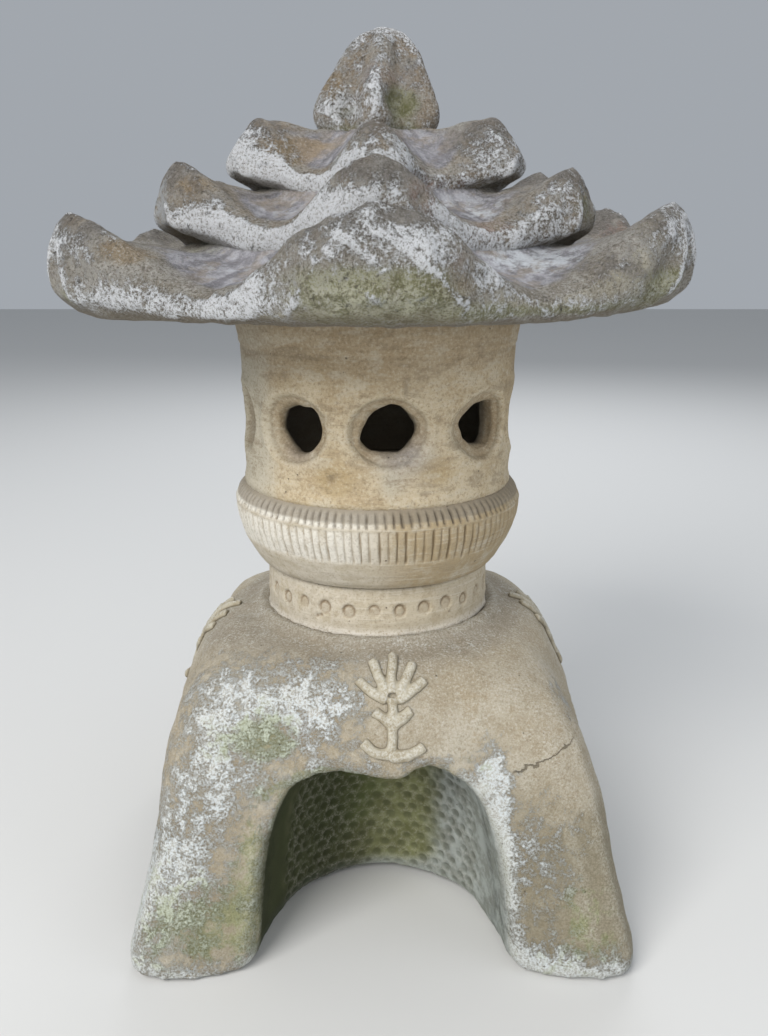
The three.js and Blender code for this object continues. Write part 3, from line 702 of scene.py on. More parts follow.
# ---------------------------------------------------------------- the light chamber
# A tall thrown collar with nine windows cut through its wall while it was leather hard. Each has a
# scooped recess round a smaller, uneven hole, and the whole surface was wiped smooth with a wet sponge.
CHAMBER_GRAIN = 1.55
WINDOWS = 9
WINDOW_FIRST = 5.0  # degrees from the front
WINDOW_UP = 49.0  # middle of the windows above the chamber's foot
chamber_low, chamber_high = (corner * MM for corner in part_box("light_chamber"))
clay = blank("light_chamber", CHAMBER_GRAIN, 2)
clay.even(7, 1 - np.exp(-(((clay.up - chamber_low.z) / 5) ** 2)))
window = np.full(len(clay.at), 99.0)
for k in range(WINDOWS):
    turn_to = WINDOW_FIRST + 360 * k / WINDOWS
    sideways = np.radians((clay.angle - turn_to + 180) % 360 - 180) * 96.5
    rise = clay.up - chamber_low.z - WINDOW_UP
    window = np.minimum(window, np.hypot(sideways, rise / 0.86))
inner = fade(clay.out, 96, 84)
# the window right of the front stands further round, and those at the back were cut a little higher
shift = np.radians((4 + 5 * inner) * np.exp(-(((clay.angle - 45) / 15) ** 4)))
x, y = clay.at[:, 0].copy(), clay.at[:, 1].copy()
clay.at[:, 0], clay.at[:, 1] = x * np.cos(shift) - y * np.sin(shift), x * np.sin(shift) + y * np.cos(shift)
clay.at[:, 2] += 8 * fade(window, 40, 26) * fade(np.abs(clay.angle), 96, 108)
clay.settle()
edge = np.exp(-(((window - 23) / 6) ** 2))
clay.even(22, edge * fade(clay.out, 90, 94))
bed = fade(clay.up, chamber_low.z + 0.5, chamber_low.z + 4)
bed = bed * fade(clay.up, chamber_high.z, chamber_high.z - 4)
near = fade(window, 34, 20) * bed
clay.at += (near * (0.6 + 0.9 * inner) * 1.5)[:, None] * np.stack([
    lumps(clay.at, 15, 51 + k) + 0.5 * lumps(clay.at, 6, 55 + k) for k in range(3)
], 1)
clay.settle()
thrown = lumps(clay.at * (0.04, 0.04, 1), 4.5, 61) * 0.22 + lumps(clay.at * (0.05, 0.05, 1), 13, 62) * 0.4
lip = -0.9 * np.exp(-(((clay.up - 406) / 1.1) ** 2)) + 0.5 * np.exp(-(((clay.up - 408.5) / 1.6) ** 2))
wander = 1.1 * lumps(clay.at, 45, 63) + 0.45 * lumps(clay.at, 17, 64) + 0.14 * lumps(clay.at, 5, 65)
outer = fade(clay.out, 90, 94)
clay.push((wander + (thrown + lip * (0.6 + 0.4 * lumps(clay.at, 26, 66))) * outer) * bed)
clay.push(-2.6 * fade(window, 30, 21) * outer * bed)
clay.push(0.9 * np.exp(-(((window - 30) / 3.5) ** 2)) * outer * bed)
clay.push(1.7 * fade(clay.up, chamber_low.z + 8, chamber_low.z + 0.5) * outer)
clay.at[:, 2] -= 1.0 * fade(clay.up, chamber_low.z + 3, chamber_low.z + 0.5) * outer
clay.settle()
chips = np.zeros(len(clay.at))
for centre, size, deep in (
    ((19, -97, 386), (1.5, 3, 6), 1.2), ((-30, -92, 326), 3, 1.2), ((57, -80, 352), (2.5, 4, 3), 1.6),
    ((33, -92, 316), (4, 3, 1.5), 1.3), ((-59, -76, 392), 3, 0.8), ((74, -62, 372), 2.5, 1.0),
):
    spot = patch(clay.at, centre, size)
    chips = np.maximum(chips, spot)
    clay.push(-deep * spot)
at = clay.at
clay.marks["chips"] = chips
clay.marks["inside"] = np.maximum(fade(clay.out, 88, 82), 0)
# the scooped recess round each window, darkened in the paint: painted shade
clay.marks["recess"] = fade(window, 29, 22) * fade(clay.out, 97, 92)
clay.marks["grey"] = patch(at, (18, -92, 342), (16, 12, 13)) + 0.7 * patch(at, (-52, -76, 342), (12, 12, 8))
clay.marks["rim"] = np.exp(-(((window - 26) / 5) ** 2)) * outer
# darker band at the top of the chamber: painted shade under the roof's overhang
clay.marks["top"] = fade(clay.up + 7 * lumps(at, 24, 67), 372, 408) * outer
clay.marks["ochre"] = (
    patch(at, (-28, -92, 326), (22, 20, 17)) + 0.9 * patch(at, (40, -88, 330), (20, 20, 15))
    + 0.5 * patch(at, (-62, -72, 334), (14, 20, 12)) + 0.6 * fade(clay.up, 345, 318) * fade(at[:, 1], -20, 30)
)
clay.marks["pale"] = 0.7 * fade(at[:, 0], -50, -88) + 0.5 * patch(at, (10, -96, 322), (12, 20, 16))


def chamber_finish():
    paint = Paint("sponged_clay")
    fine = paint.grain(2.0, 7, 0.75)
    cloud = paint.grain(16, 7, 0.68)
    broad = paint.grain(48, 6, 0.6)
    thrown = paint.grain(7, 6, 0.65, 0.0, paint.stretched((0, 0, 0), (0.16, 0.16, 2.4)))
    tone = paint.step(broad * 0.5 + cloud * 0.5, 0.42, 0.58)
    colour = paint.mix(tone, (0.4, 0.315, 0.195), (0.5, 0.42, 0.29))
    chalky = paint.step(paint.mark("pale") + cloud * 0.5, 0.4, 0.9)
    colour = paint.mix(chalky * 0.8, colour, (0.44, 0.41, 0.33))
    # painted shade under the roof's overhang, darkening the top of the chamber
    roof_shade = paint.step(paint.mark("top") * 0.8 + cloud * 0.5, 0.5, 1.05)
    colour = paint.mix(roof_shade * 0.45, colour, (0.27, 0.2, 0.12))
    ochre = paint.step(paint.mark("ochre") * 0.8 + cloud * 0.8, 0.75, 1.1)
    colour = paint.mix(ochre * 0.7, colour, (0.36, 0.27, 0.14))
    colour = paint.mix(paint.mark("rim") * paint.step(fine, 0.3, 0.6) * 0.5, colour, (0.5, 0.45, 0.34))
    # painted shade in the scooped recess round each window
    colour = paint.mix(paint.mark("recess") * 0.5, colour, (0.22, 0.165, 0.1))
    colour = paint.mix(paint.mark("grey") * 0.8, colour, (0.28, 0.27, 0.27))
    colour = paint.mix(paint.step(thrown, 0.52, 0.68) * 0.25, colour, (0.5, 0.44, 0.33))
    smears = paint.grain(20, 7, 0.7, 0.4, paint.stretched((0, 25, 0), (0.8, 0.8, 2.2)))
    colour = paint.mix(paint.step(smears, 0.52, 0.62) * 0.5, colour, (0.235, 0.185, 0.12))
    colour = paint.mix(paint.step(smears, 0.48, 0.4) * 0.35, colour, (0.5, 0.46, 0.37))
    colour = paint.mix(paint.step(fine, 0.48, 0.38) * 0.5, colour, (0.19, 0.14, 0.085))
    colour = paint.mix(paint.step(fine, 0.53, 0.62) * 0.4, colour, (0.56, 0.51, 0.41))
    dots = paint.step(paint.pits(10.0), 0.08, 0.04) * paint.step(cloud, 0.5, 0.56)
    colour = paint.mix(dots * 0.7 + paint.mark("chips") * 0.5, colour, (0.09, 0.065, 0.045))
    colour = paint.mix(paint.mark("inside") * 0.85, colour, (0.07, 0.06, 0.045))
    height = fine * 0.6 + thrown * 0.55 + cloud * 0.4 - dots
    return paint.finish(colour, 0.74 + 0.2 * fine, height, 1.0)


chamber = clay.piece("light_chamber_clay", chamber_finish())
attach(chamber, "fire_box")
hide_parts("light_chamber")

# ---------------------------------------------------------------- the tealight
# A bought candle that stands loose on the floor of the bowl: a drawn aluminium cup, poured wax with a
# burnt hollow, and a charred cotton wick held upright by a small stamped plate.
cup_low, cup_high = (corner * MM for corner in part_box("tealight_cup"))
wax_low, wax_high = (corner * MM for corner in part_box("tealight_wax"))
plate_low, plate_high = (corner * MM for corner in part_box("wick_sustainer"))
wick_low, wick_high = (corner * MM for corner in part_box("wick"))
FOIL = 0.5
cup_out = cup_high.x
cup_in = cup_out - FOIL
clay = turned([
    (0, cup_low.z, 3), (cup_out - 1.2, cup_low.z, 0.5), (cup_out, cup_low.z + 1.2, 1),
    (cup_out, cup_high.z - 0.4, 0.2), (cup_out - 0.25, cup_high.z, 0.2),
    (cup_in, cup_high.z - 0.4, 1), (cup_in, cup_low.z + 1.2, 0.5),
    (cup_in - 1, cup_low.z + FOIL, 3), (0, cup_low.z + FOIL, 3),
], 1, 120)
flutes = fade(clay.out, cup_in - 0.6, cup_in - 0.1) * fade(clay.up, cup_high.z - 1, cup_high.z - 3)
clay.at[:, :2] *= (1 - 0.004 * flutes * (1 + np.cos(np.radians(clay.angle) * 60)))[:, None]
clay.settle()


def foil_finish(name, tint):
    paint = Paint(name)
    cloud = paint.grain(3.0, 3, 0.5)
    colour = paint.mix(paint.step(cloud, 0.35, 0.65), tint, [0.72 * c for c in tint])
    metal = paint.finish(colour, 0.3 + 0.25 * cloud, cloud, 0.06)
    surface = next(n for n in metal.node_tree.nodes if n.type == "BSDF_PRINCIPLED")
    surface.inputs["Metallic"].default_value = 1.0
    return metal


cup = clay.piece("tealight_foil_cup", foil_finish("drawn_aluminium", (0.72, 0.72, 0.73)))
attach(cup, "tealight")
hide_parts("tealight_cup")

collar = 1.85
clay = turned([
    (0, plate_low.z, 2), (6.6, plate_low.z, 0.3), (6.9, plate_low.z + 0.4, 0.3), (6.5, plate_low.z + 0.75, 1),
    (collar + 0.5, plate_low.z + 0.8, 0.3), (collar, plate_low.z + 1.3, 0.8),
    (collar - 0.2, plate_high.z, 0.4), (0, plate_high.z, 1),
], 1, 60)
plate = clay.piece("wick_plate", foil_finish("stamped_tin", (0.6, 0.6, 0.6)))
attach(plate, "tealight")
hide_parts("wick_sustainer")

WAX_BORE = 2.15
wax_out = wax_high.x - 0.1
clay = turned([
    (7.3, wax_low.z, 3), (wax_out - 0.8, wax_low.z, 0.6), (wax_out, wax_low.z + 1, 2),
    (wax_out, wax_high.z, 0.5), (wax_out - 1.2, wax_high.z - 0.7, 0.9),
    (12, wax_high.z - 1.1, 0.9), (6, wax_high.z - 1.9, 0.6),
    (WAX_BORE, wax_high.z - 1.4, 0.6), (WAX_BORE, wax_low.z + 1.2, 1), (7.3, wax_low.z + 1.2, 1),
    (7.3, wax_low.z, 3),
], 1, 120)
top = (clay.facing[:, 2] > 0.5) * fade(clay.out, 3, 6) * fade(clay.out, 18, 16)
clay.push(0.25 * lumps(clay.at, 4, 71) * top, (0, 0, 1))


def wax_finish():
    paint = Paint("poured_wax")
    cloud = paint.grain(6.0, 3, 0.5)
    colour = paint.mix(paint.step(cloud, 0.35, 0.65), (0.82, 0.77, 0.64), (0.9, 0.87, 0.78))
    return paint.finish(colour, 0.35 + 0.2 * cloud, cloud, 0.2)


wax = clay.piece("tealight_poured_wax", wax_finish())
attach(wax, "tealight")
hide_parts("tealight_wax")

clay = turned([
    (0, wick_low.z, 0.4), (0.8, wick_low.z, 0.3), (0.88, wick_low.z + 1, 0.3), (0.85, wick_high.z - 1.5, 0.2),
    (0.6, wick_high.z - 0.2, 0.2), (0, wick_high.z, 0.2),
], 2, 24)
twist = np.radians(clay.angle) * 3 + clay.up * 2.6
clay.at[:, :2] *= (0.92 + 0.08 * np.cos(twist))[:, None]
clay.settle()
clay.push(1.3 * fade(clay.up, wick_high.z - 6, wick_high.z + 1) ** 2, (0.8, -0.6, 0))


def wick_finish():
    paint = Paint("charred_cotton")
    fine = paint.grain(0.6, 3, 0.6)
    burnt = paint.node("ShaderNodeSeparateXYZ", {}, {0: paint.place}, 2)
    char = paint.step(burnt * MM + fine * 2, wick_high.z - 6, wick_high.z - 3)
    colour = paint.mix(char, (0.5, 0.44, 0.33), (0.02, 0.017, 0.015))
    return paint.finish(colour, 0.8 + 0.15 * fine, fine, 0.15)


wick = clay.piece("cotton_wick", wick_finish())
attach(wick, "tealight")
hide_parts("wick")

# ---------------------------------------------------------------- the lowest roof tier
# The widest stone of the roof, built solid of coarse clay, its six corners drawn up into blunt prows.
# Weather has crusted its rim with pale lichen and blackened the corners; only the hollows between
# them stay smooth. Its front face is gouged and green.
LOWER_GRAIN = 2.35  # spacing of the points that the tier is worked with
TIER_CORNERS = 6
ROOF_RIM = 8  # locating rim under the tier, below its bed
lower_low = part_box("roof_lower_tier")[0] * MM
clay = blank("roof_lower_tier", LOWER_GRAIN, 7)


def corner_share(clay, width):
    """1 on the line of a corner, fading to 0 over that many degrees each side, and each corner's turn."""
    turn = 360 / TIER_CORNERS
    nearest = np.round(clay.angle / turn) * turn
    return np.exp(-(((clay.angle - nearest) / width) ** 2)), nearest


def set_tips(clay, start, tips, width=17):
    """Raises and draws out single corners, from the radius `start` outwards."""
    for degrees, rise, reach in tips:
        off = (clay.angle - degrees + 180) % 360 - 180
        share = np.exp(-((off / width) ** 2)) * fade(clay.out, start[0], start[1])
        clay.at[:, 2] += rise * share
        clay.at[:, :2] *= (1 + reach * share / np.maximum(clay.out, 1))[:, None]
    clay.settle()


def combed(clay, seed, across=3.0, along=55.0):
    """Fine streaks that run outwards down a tier."""
    lines = np.stack([np.radians(clay.angle) * 120, clay.out, 0 * clay.out], 1)
    return lumps(lines, (across, along, 1), seed)


def roughen(clay, where, deep=1.0):
    """The coarse crumbly surface of the weathered clay."""
    amount = 1.0 * lumps(clay.at, 26, 81) + 0.65 * lumps(clay.at, 11, 82) + 0.5 * lumps(clay.at, 5.2, 83)
    clay.push(amount * where * deep)


set_tips(clay, (110, 200), ((0, 0, 1), (-60, -4, 5), (60, 2, -1), (120, 4, 5), (-120, -12, 1), (180, -3, -2)))
share, nearest = corner_share(clay, 13)
rel = clay.up - lower_low.z - ROOF_RIM
side_on = np.radians(clay.angle - nearest) * clay.out


def carve_corners(clay, rel, side_on, crest, edge, start, half, deep, front=1.0):
    """Cuts each prow to a hollow facet between two creases that meet at its tip, with a hollow flank on
    either side, all under a crest that is left standing."""
    face = fade(clay.out, start, start + 0.1 * start) * fade(clay.facing[:, 2], 0.6, 0.15)
    share = (1 + np.cos(np.radians(clay.angle * TIER_CORNERS))) / 2
    top = edge + (crest - edge) * share**1.2
    level = rel / np.maximum(top, 1)
    wide = half * np.where(np.abs(clay.angle) < 30, front, 1.0) * (1.1 - 0.85 * np.clip(rel / crest, 0, 1))
    offset = np.abs(side_on)
    band = np.exp(-(((level - 0.5) / 0.3) ** 2))
    facet = np.exp(-((offset / (0.62 * wide)) ** 4))
    flank = np.exp(-(((offset - 1.9 * wide) / (0.7 * wide)) ** 2)) * fade(share, 0.1, 0.4)
    crease = np.exp(-(((offset - wide) / (0.2 * half)) ** 2)) * band
    ridge = np.exp(-(((rel - top) / (0.075 * crest)) ** 2)) * fade(share, 0.0, 0.5)
    clay.push(deep * (0.45 * crease - 1.0 * facet * band - 0.75 * flank * band + 0.45 * ridge) * face)


carve_corners(clay, rel, side_on, 67, 18, 180, 20, 4.6, 2.3)
# gouges that run down to the left across the broad front face
front = np.exp(-((clay.angle / 17) ** 2)) * fade(clay.out, 178, 200) * fade(clay.facing[:, 2], 0.7, 0.3)
slant = clay.at @ np.array([[0.77, 0, 0.64], [0, 1, 0], [-0.64, 0, 0.77]])
gouge = lumps(slant, (34, 60, 5.5), 84) + 0.6 * lumps(slant, (18, 40, 3.6), 85)
clay.push((1.5 * gouge - 1.2 * np.exp(-(((rel - 27) / 9) ** 2))) * front * fade(rel, 8, 16))
# the front tip has lost flakes along its crest, to the left
for centre, size, deep in (
    ((-16, -203, 494), (9, 8, 5), 3.5), ((-32, -196, 488), (8, 8, 5), 2.6), ((8, -209, 492), (8, 6, 5), 3.2),
    ((60, -190, 458), (9, 8, 4), 2.0), ((-118, -158, 452), (12, 9, 6), 1.8),
    ((150, -142, 470), (8, 8, 6), 1.8),
):
    clay.push(-deep * patch(clay.at, centre, size))
weather = fade(clay.out, 96, 112) * fade(rel, -1, 3)
top_side = fade(clay.facing[:, 2], 0.3, 0.7)
valley = top_side * (1 - share) * fade(clay.out, 184, 166)
roughen(clay, weather * (1 - 0.6 * valley))
clay.push(0.7 * combed(clay, 86) * valley * weather)
clay.push(11.0 * np.exp(-(((clay.out - 122) / 11) ** 2)) * top_side * (1 - 0.3 * share), (0, 0, 1))
bed_line = 0.9 * lumps(clay.at, 9, 87) * fade(rel, 7, 1) * fade(clay.out, 150, 175)
clay.push(bed_line, (0, 0, 1))
at = clay.at
rim = fade(rel, 2, 8) * fade(clay.facing[:, 2], 0.75, 0.35) * fade(clay.out, 168, 182)
tip = share * fade(clay.out, 150, 196) * fade(rel, 22, 44)
left = fade(clay.angle, -6, -22) * fade(clay.angle, -64, -50)
right = fade(clay.angle, 6, 20) * fade(clay.angle, 62, 48)
hidden = fade(at[:, 1], -90, -20)
clay.marks["crust"] = (
    0.62 * rim * fade(rel, 34, 12) * (left + 0.55 * right + 0.55 * hidden) + 0.5 * rim * tip
    + 0.75 * fade(clay.proud(8), 0.25, 1.1) + 0.45 * front * fade(rel, 8, 3)
    + 0.8 * patch(at, (64, -186, 459), (16, 14, 7)) + 0.9 * patch(at, (-22, -200, 491), (18, 12, 5))
    + 0.5 * patch(at, (-60, -180, 458), (34, 20, 14)) + 0.4 * patch(at, (176, -110, 490), (18, 20, 8))
    + 0.5 * patch(at, (26, -206, 474), (16, 14, 14))
)
clay.marks["valley"] = valley * fade(clay.proud(40), 3.0, -0.5) * weather
clay.marks["soot"] = (
    0.62 * tip * fade(rel, 34, 56) + 0.5 * share * top_side * fade(clay.out, 130, 170)
    + 0.8 * patch(at, (8, -208, 488), (13, 10, 12)) + 0.5 * patch(at, (-172, -120, 476), (14, 20, 20))
    + 0.4 * rim * fade(rel, 16, 26) + 0.6 * patch(at, (120, -140, 462), (40, 30, 9))
)
clay.marks["rust"] = (
    0.8 * patch(at, (-140, -138, 470), (26, 24, 10)) + 0.6 * patch(at, (-172, -118, 486), (16, 16, 10))
    + 0.35 * valley * fade(lumps(at, 30, 88), 0.1, 0.6) + 0.45 * patch(at, (186, 67, 486), (20, 24, 12))
)
clay.marks["moss"] = (
    1.0 * front * fade(rel, 46, 26) * (0.7 + 0.3 * lumps(at, 18, 89)) + 0.55 * rim * right * fade(rel, 18, 8)
    + 0.6 * patch(at, (-180, -110, 444), (14, 18, 11)) + 0.75 * patch(at, (172, -126, 452), (30, 30, 12))
    + 0.5 * patch(at, (-104, -76, 467), (30, 30, 8)) + 0.35 * rim * hidden * fade(rel, 26, 8)
    + 0.22 * np.exp(-(((clay.out - 124) / 6) ** 2)) * top_side
)
clay.marks["bloom"] = (
    0.85 * patch(at, (-187, -112, 466), (8, 18, 22)) + 0.9 * patch(at, (92, -112, 466), (38, 40, 10))
    + 0.5 * patch(at, (-90, -130, 462), (40, 30, 7)) + 0.4 * patch(at, (10, -214, 446), (40, 20, 6))
)
# pale cream low on the front face and along the rim: partly the clay's colour, partly painted light where the
# downward-facing face lies in shade
clay.marks["low_pale_and_lit"] = front * fade(rel, 19, 8) + 0.6 * rim * left * fade(rel, 12, 4) + 0.5 * rim * right
clay.marks["pink"] = (
    0.8 * patch(at, (180, 60, 486), (14, 18, 9)) + 0.35 * patch(at, (44, -196, 460), (10, 12, 12))
)
clay.marks["streak"] = 0.5 + 0.5 * combed(clay, 90, 2.4, 40)
# surfaces facing down, darkened in the paint: painted shade under the tier
clay.marks["under"] = fade(clay.facing[:, 2], -0.6, -0.95)


def roof_finish(name, warm=0.0):
    """The weathered roof clay: grey-brown, with crust, black specks, growth and bare smooth hollows."""
    paint = Paint(name)
    fine = paint.grain(1.7, 7, 0.84)
    speck = paint.grain(5.0, 7, 0.78)
    blot = paint.grain(9.0, 7, 0.72)
    cloud = paint.grain(22, 6, 0.65)
    islands = paint.grain(7.5, 9, 0.78, 0.3)
    grit = paint.step(fine, 0.4, 0.6)
    crust, valley, soot = paint.mark("crust"), paint.mark("valley"), paint.mark("soot")
    moss, rust, streak = paint.mark("moss"), paint.mark("rust"), paint.mark("streak")
    open_clay = 1 - valley * 0.7
    colour = paint.mix(
        paint.step(cloud * 0.6 + blot * 0.4, 0.42, 0.58),
        (0.33 + 0.03 * warm, 0.3, 0.25 - 0.02 * warm), (0.46, 0.44, 0.4),
    )
    colour = paint.mix(paint.step(blot, 0.5, 0.62) * 0.65, colour, (0.235, 0.2, 0.165))
    washed = paint.step(streak * 0.35 + blot * 1.2, 0.6, 0.95)
    bare = paint.mix(washed, (0.2, 0.195, 0.215), (0.4, 0.4, 0.435))
    bare = paint.mix(paint.step(cloud + streak * 0.1, 0.54, 0.66) * 0.6, bare, (0.27, 0.225, 0.175))
    colour = paint.mix(paint.step(valley + blot * 0.4 - 0.2, 0.1, 0.6), colour, bare)
    stained = paint.step(rust * 0.9 + blot * 0.9, 0.72, 1.1)
    colour = paint.mix(stained * 0.65, colour, (0.34, 0.24, 0.12))
    # pale cream low on the front face and rim: partly the clay's colour, partly painted light
    pale_and_lit = paint.step(paint.mark("low_pale_and_lit") + blot * 0.6, 0.65, 1.1)
    colour = paint.mix(pale_and_lit * 0.8, colour, (0.8, 0.75, 0.57))
    grown = paint.step(moss * 1.1 + blot * 0.9, 0.72, 1.15)
    green = paint.mix(paint.step(islands, 0.42, 0.58), (0.2, 0.2, 0.08), (0.6, 0.6, 0.43))
    colour = paint.mix(grown * 0.85, colour, green)
    colour = paint.mix(paint.mark("pink") * paint.step(blot, 0.35, 0.6), colour, (0.44, 0.26, 0.21))
    colour = paint.mix(paint.step(fine, 0.49, 0.4) * 0.75 * open_clay, colour, (0.1, 0.088, 0.07))
    colour = paint.mix(paint.step(fine, 0.52, 0.6) * 0.65 * open_clay, colour, (0.68, 0.67, 0.64))
    black = paint.cover(soot * 0.7 + 0.08, fine * 0.5 + islands * 0.5, 0.24)
    colour = paint.mix(black * 0.62, colour, paint.mix(grit, (0.09, 0.082, 0.076), (0.2, 0.185, 0.175)))
    whitened = paint.cover(paint.mark("bloom"), blot * 0.5 + speck * 0.5, 0.4)
    colour = paint.mix(whitened * 0.7, colour, (0.6, 0.64, 0.68))
    rough_white = paint.cover(crust * 0.92 + 0.1 * open_clay, islands * 0.5 + fine * 0.5, 0.22)
    colour = paint.mix(rough_white * (0.5 + 0.5 * paint.step(fine, 0.43, 0.52)), colour, (0.86, 0.88, 0.91))
    colour = paint.mix(paint.step(fine, 0.46, 0.38) * 0.7 * open_clay, colour, (0.15, 0.13, 0.1))
    colour = paint.mix(paint.mark("mould") * paint.step(blot, 0.3, 0.6) * 0.85, colour, (0.15, 0.15, 0.05))
    holes = paint.step(speck, 0.59, 0.66) * open_clay
    colour = paint.mix(holes * 0.7, colour, (0.06, 0.055, 0.048))
    # surfaces facing down darkened: painted shade
    colour = paint.mix(paint.mark("under") * 0.5, colour, (0.3, 0.25, 0.18))
    height = (fine * 1.5 + speck * 1.1) * open_clay + blot * 0.6 + rough_white * 0.35 - holes * 0.6
    height = height + streak * valley * 0.4
    return paint.finish(colour, 0.84 + 0.14 * fine - 0.12 * valley, height, 2.4)


lower = clay.piece("roof_lower_tier_clay", roof_finish("crusted_lower_tier"))
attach(lower, "roof")
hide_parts("roof_lower_tier")

# ---------------------------------------------------------------- the middle roof tier
# The second stone of the roof, luted onto the first, with deep crevices under its rim that hold moss.
# Its rim carries the whitest crust of the whole lantern.
MIDDLE_GRAIN = 1.9
middle_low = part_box("roof_middle_tier")[0] * MM
clay = blank("roof_middle_tier", MIDDLE_GRAIN, 7)
set_tips(clay, (70, 140), ((0, -1, 0), (-60, 0, 2), (60, -3, 0), (120, 2, 2), (-120, -4, 0), (180, 2, 0)))
share, nearest = corner_share(clay, 15)
rel = clay.up - middle_low.z
side_on = np.radians(clay.angle - nearest) * clay.out
carve_corners(clay, rel, side_on, 57, 19, 124, 17, 3.4, 1.6)
for centre, size, deep in (
    ((-24, -142, 500), (9, 8, 5), 2.2), ((74, -108, 484), (9, 9, 4), 1.6), ((28, -139, 499), (10, 8, 5), 2.4),
    ((-86, -102, 480), (8, 8, 5), 1.8), ((12, -146, 508), (6, 6, 5), 1.8),
):
    clay.push(-deep * patch(clay.at, centre, size))
weather = fade(rel, 0.5, 4) * fade(clay.out, 40, 66)
top_side = fade(clay.facing[:, 2], 0.3, 0.7)
valley = top_side * (1 - share) * fade(clay.out, 126, 112)
roughen(clay, weather * (1 - 0.6 * valley), 0.9)
clay.push(0.65 * combed(clay, 91, 2.6, 45) * valley)
clay.push(10.0 * np.exp(-(((clay.out - 78) / 8.5) ** 2)) * top_side * (1 - 0.3 * share), (0, 0, 1))
clay.push(-5.0 * fade(rel, 16, 6) * fade(clay.out, 104, 118) * (1 - share), (0, 0, 1))
at = clay.at
rim = fade(rel, 2, 7) * fade(clay.facing[:, 2], 0.8, 0.4) * fade(clay.out, 112, 124)
tip = share * fade(clay.out, 108, 138) * fade(rel, 20, 38)
left = fade(clay.angle, 4, -6) * fade(clay.angle, -62, -50)
hidden = fade(at[:, 1], -60, -10)
right = fade(clay.angle, 8, 20) * fade(clay.angle, 66, 50)
clay.marks["crust"] = (
    1.1 * rim * fade(rel, 40, 16) * left + 0.62 * rim * hidden + 0.55 * rim * right
    + 0.6 * fade(clay.proud(8), 0.2, 0.9) + 0.9 * patch(at, (-28, -138, 494), (26, 16, 12))
    + 0.6 * patch(at, (-92, -98, 482), (30, 26, 9)) + 0.5 * patch(at, (40, -128, 490), (20, 20, 10))
    + 0.5 * patch(at, (0, -146, 500), (20, 14, 10))
)
clay.marks["valley"] = valley * fade(clay.proud(40), 2.5, -0.4)
clay.marks["soot"] = (
    0.6 * tip * fade(rel, 32, 50) + 0.5 * share * top_side * fade(clay.out, 90, 120)
    + 0.5 * patch(at, (-78, -86, 497), (24, 20, 10)) + 0.4 * rim * fade(rel, 14, 22)
    + 0.6 * patch(at, (64, -80, 496), (34, 26, 10))
    + 0.45 * patch(at, (0, -146, 512), (16, 10, 8))
)
clay.marks["rust"] = (
    0.7 * patch(at, (-108, -86, 508), (22, 18, 9)) + 0.55 * patch(at, (-70, -70, 497), (22, 20, 8))
    + 0.3 * valley * fade(lumps(at, 26, 92), 0.1, 0.6) * fade(at[:, 1], -60, 0)
)
clay.marks["moss"] = (
    1.0 * fade(rel, 11, 3) * fade(clay.out, 100, 116) * left + 0.5 * patch(at, (128, -78, 494), (14, 18, 16))
    + 0.7 * fade(rel, 9, 3) * fade(lumps(at, 24, 93), -0.1, 0.5) * fade(clay.out, 100, 120)
    + 0.22 * np.exp(-(((clay.out - 80) / 5) ** 2)) * top_side
)
clay.marks["mould"] = fade(rel, 9, 2) * fade(clay.out, 96, 112) * (0.5 + 0.5 * left)
clay.marks["bloom"] = (
    1.0 * patch(at, (-133, -78, 492), (9, 22, 22)) + 0.45 * patch(at, (74, -80, 490), (30, 30, 8))
    + 0.3 * valley
)
clay.marks["pink"] = (
    0.7 * patch(at, (30, -136, 498), (14, 12, 9)) + 0.6 * patch(at, (66, -112, 481), (18, 14, 6))
)
clay.marks["streak"] = 0.5 + 0.5 * combed(clay, 94, 2.2, 34)
# surfaces facing down, darkened in the paint: painted shade under the tier
clay.marks["under"] = fade(clay.facing[:, 2], -0.6, -0.95)
middle = clay.piece("roof_middle_tier_clay", roof_finish("crusted_middle_tier", warm=0.6))
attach(middle, "roof")
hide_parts("roof_middle_tier")

# ---------------------------------------------------------------- the upper roof tier
# The smallest tier. A piece has broken from its rim right of the front corner and shows the pink clay
# inside. Its front corner is worn lower than the other five.
UPPER_GRAIN = 1.55
upper_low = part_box("roof_upper_tier")[0] * MM
clay = blank("roof_upper_tier", UPPER_GRAIN, 7)
set_tips(clay, (30, 88), ((0, -6, -2), (-60, 0, 1), (60, 0, 0), (120, 1, 0), (-120, -1, 0), (180, 1, 0)), 20)
share, nearest = corner_share(clay, 16)
rel = clay.up - upper_low.z
side_on = np.radians(clay.angle - nearest) * clay.out
carve_corners(clay, rel, side_on, 49, 17, 78, 13, 2.8, 1.4)
broken = np.zeros(len(clay.at))
for centre, size, deep in (
    ((32, -80, 509), (7, 7, 6), 4.0), ((44, -74, 507), (7, 7, 5), 3.6), ((22, -86, 510), (6, 6, 6), 3.0),
    ((54, -66, 507), (5, 6, 5), 2.6), ((-30, -78, 512), (7, 6, 4), 1.2),
):
    spot = patch(clay.at, centre, size)
    broken = np.maximum(broken, spot * (deep > 2))
    clay.push(-deep * spot * (1 + 0.4 * lumps(clay.at, 3.5, 95)))
weather = fade(rel, 0.5, 4) * fade(clay.out, 20, 34)
top_side = fade(clay.facing[:, 2], 0.3, 0.7)
valley = top_side * (1 - share) * fade(clay.out, 80, 70)
roughen(clay, weather * (1 - 0.55 * valley), 0.8)
clay.push(0.5 * combed(clay, 96, 4, 30) * valley)
clay.push(-4.5 * fade(rel, 14, 5) * fade(clay.out, 64, 75) * (1 - share), (0, 0, 1))
clay.push(3.5 * np.exp(-(((clay.out - 40) / 6) ** 2)) * top_side, (0, 0, 1))
at = clay.at
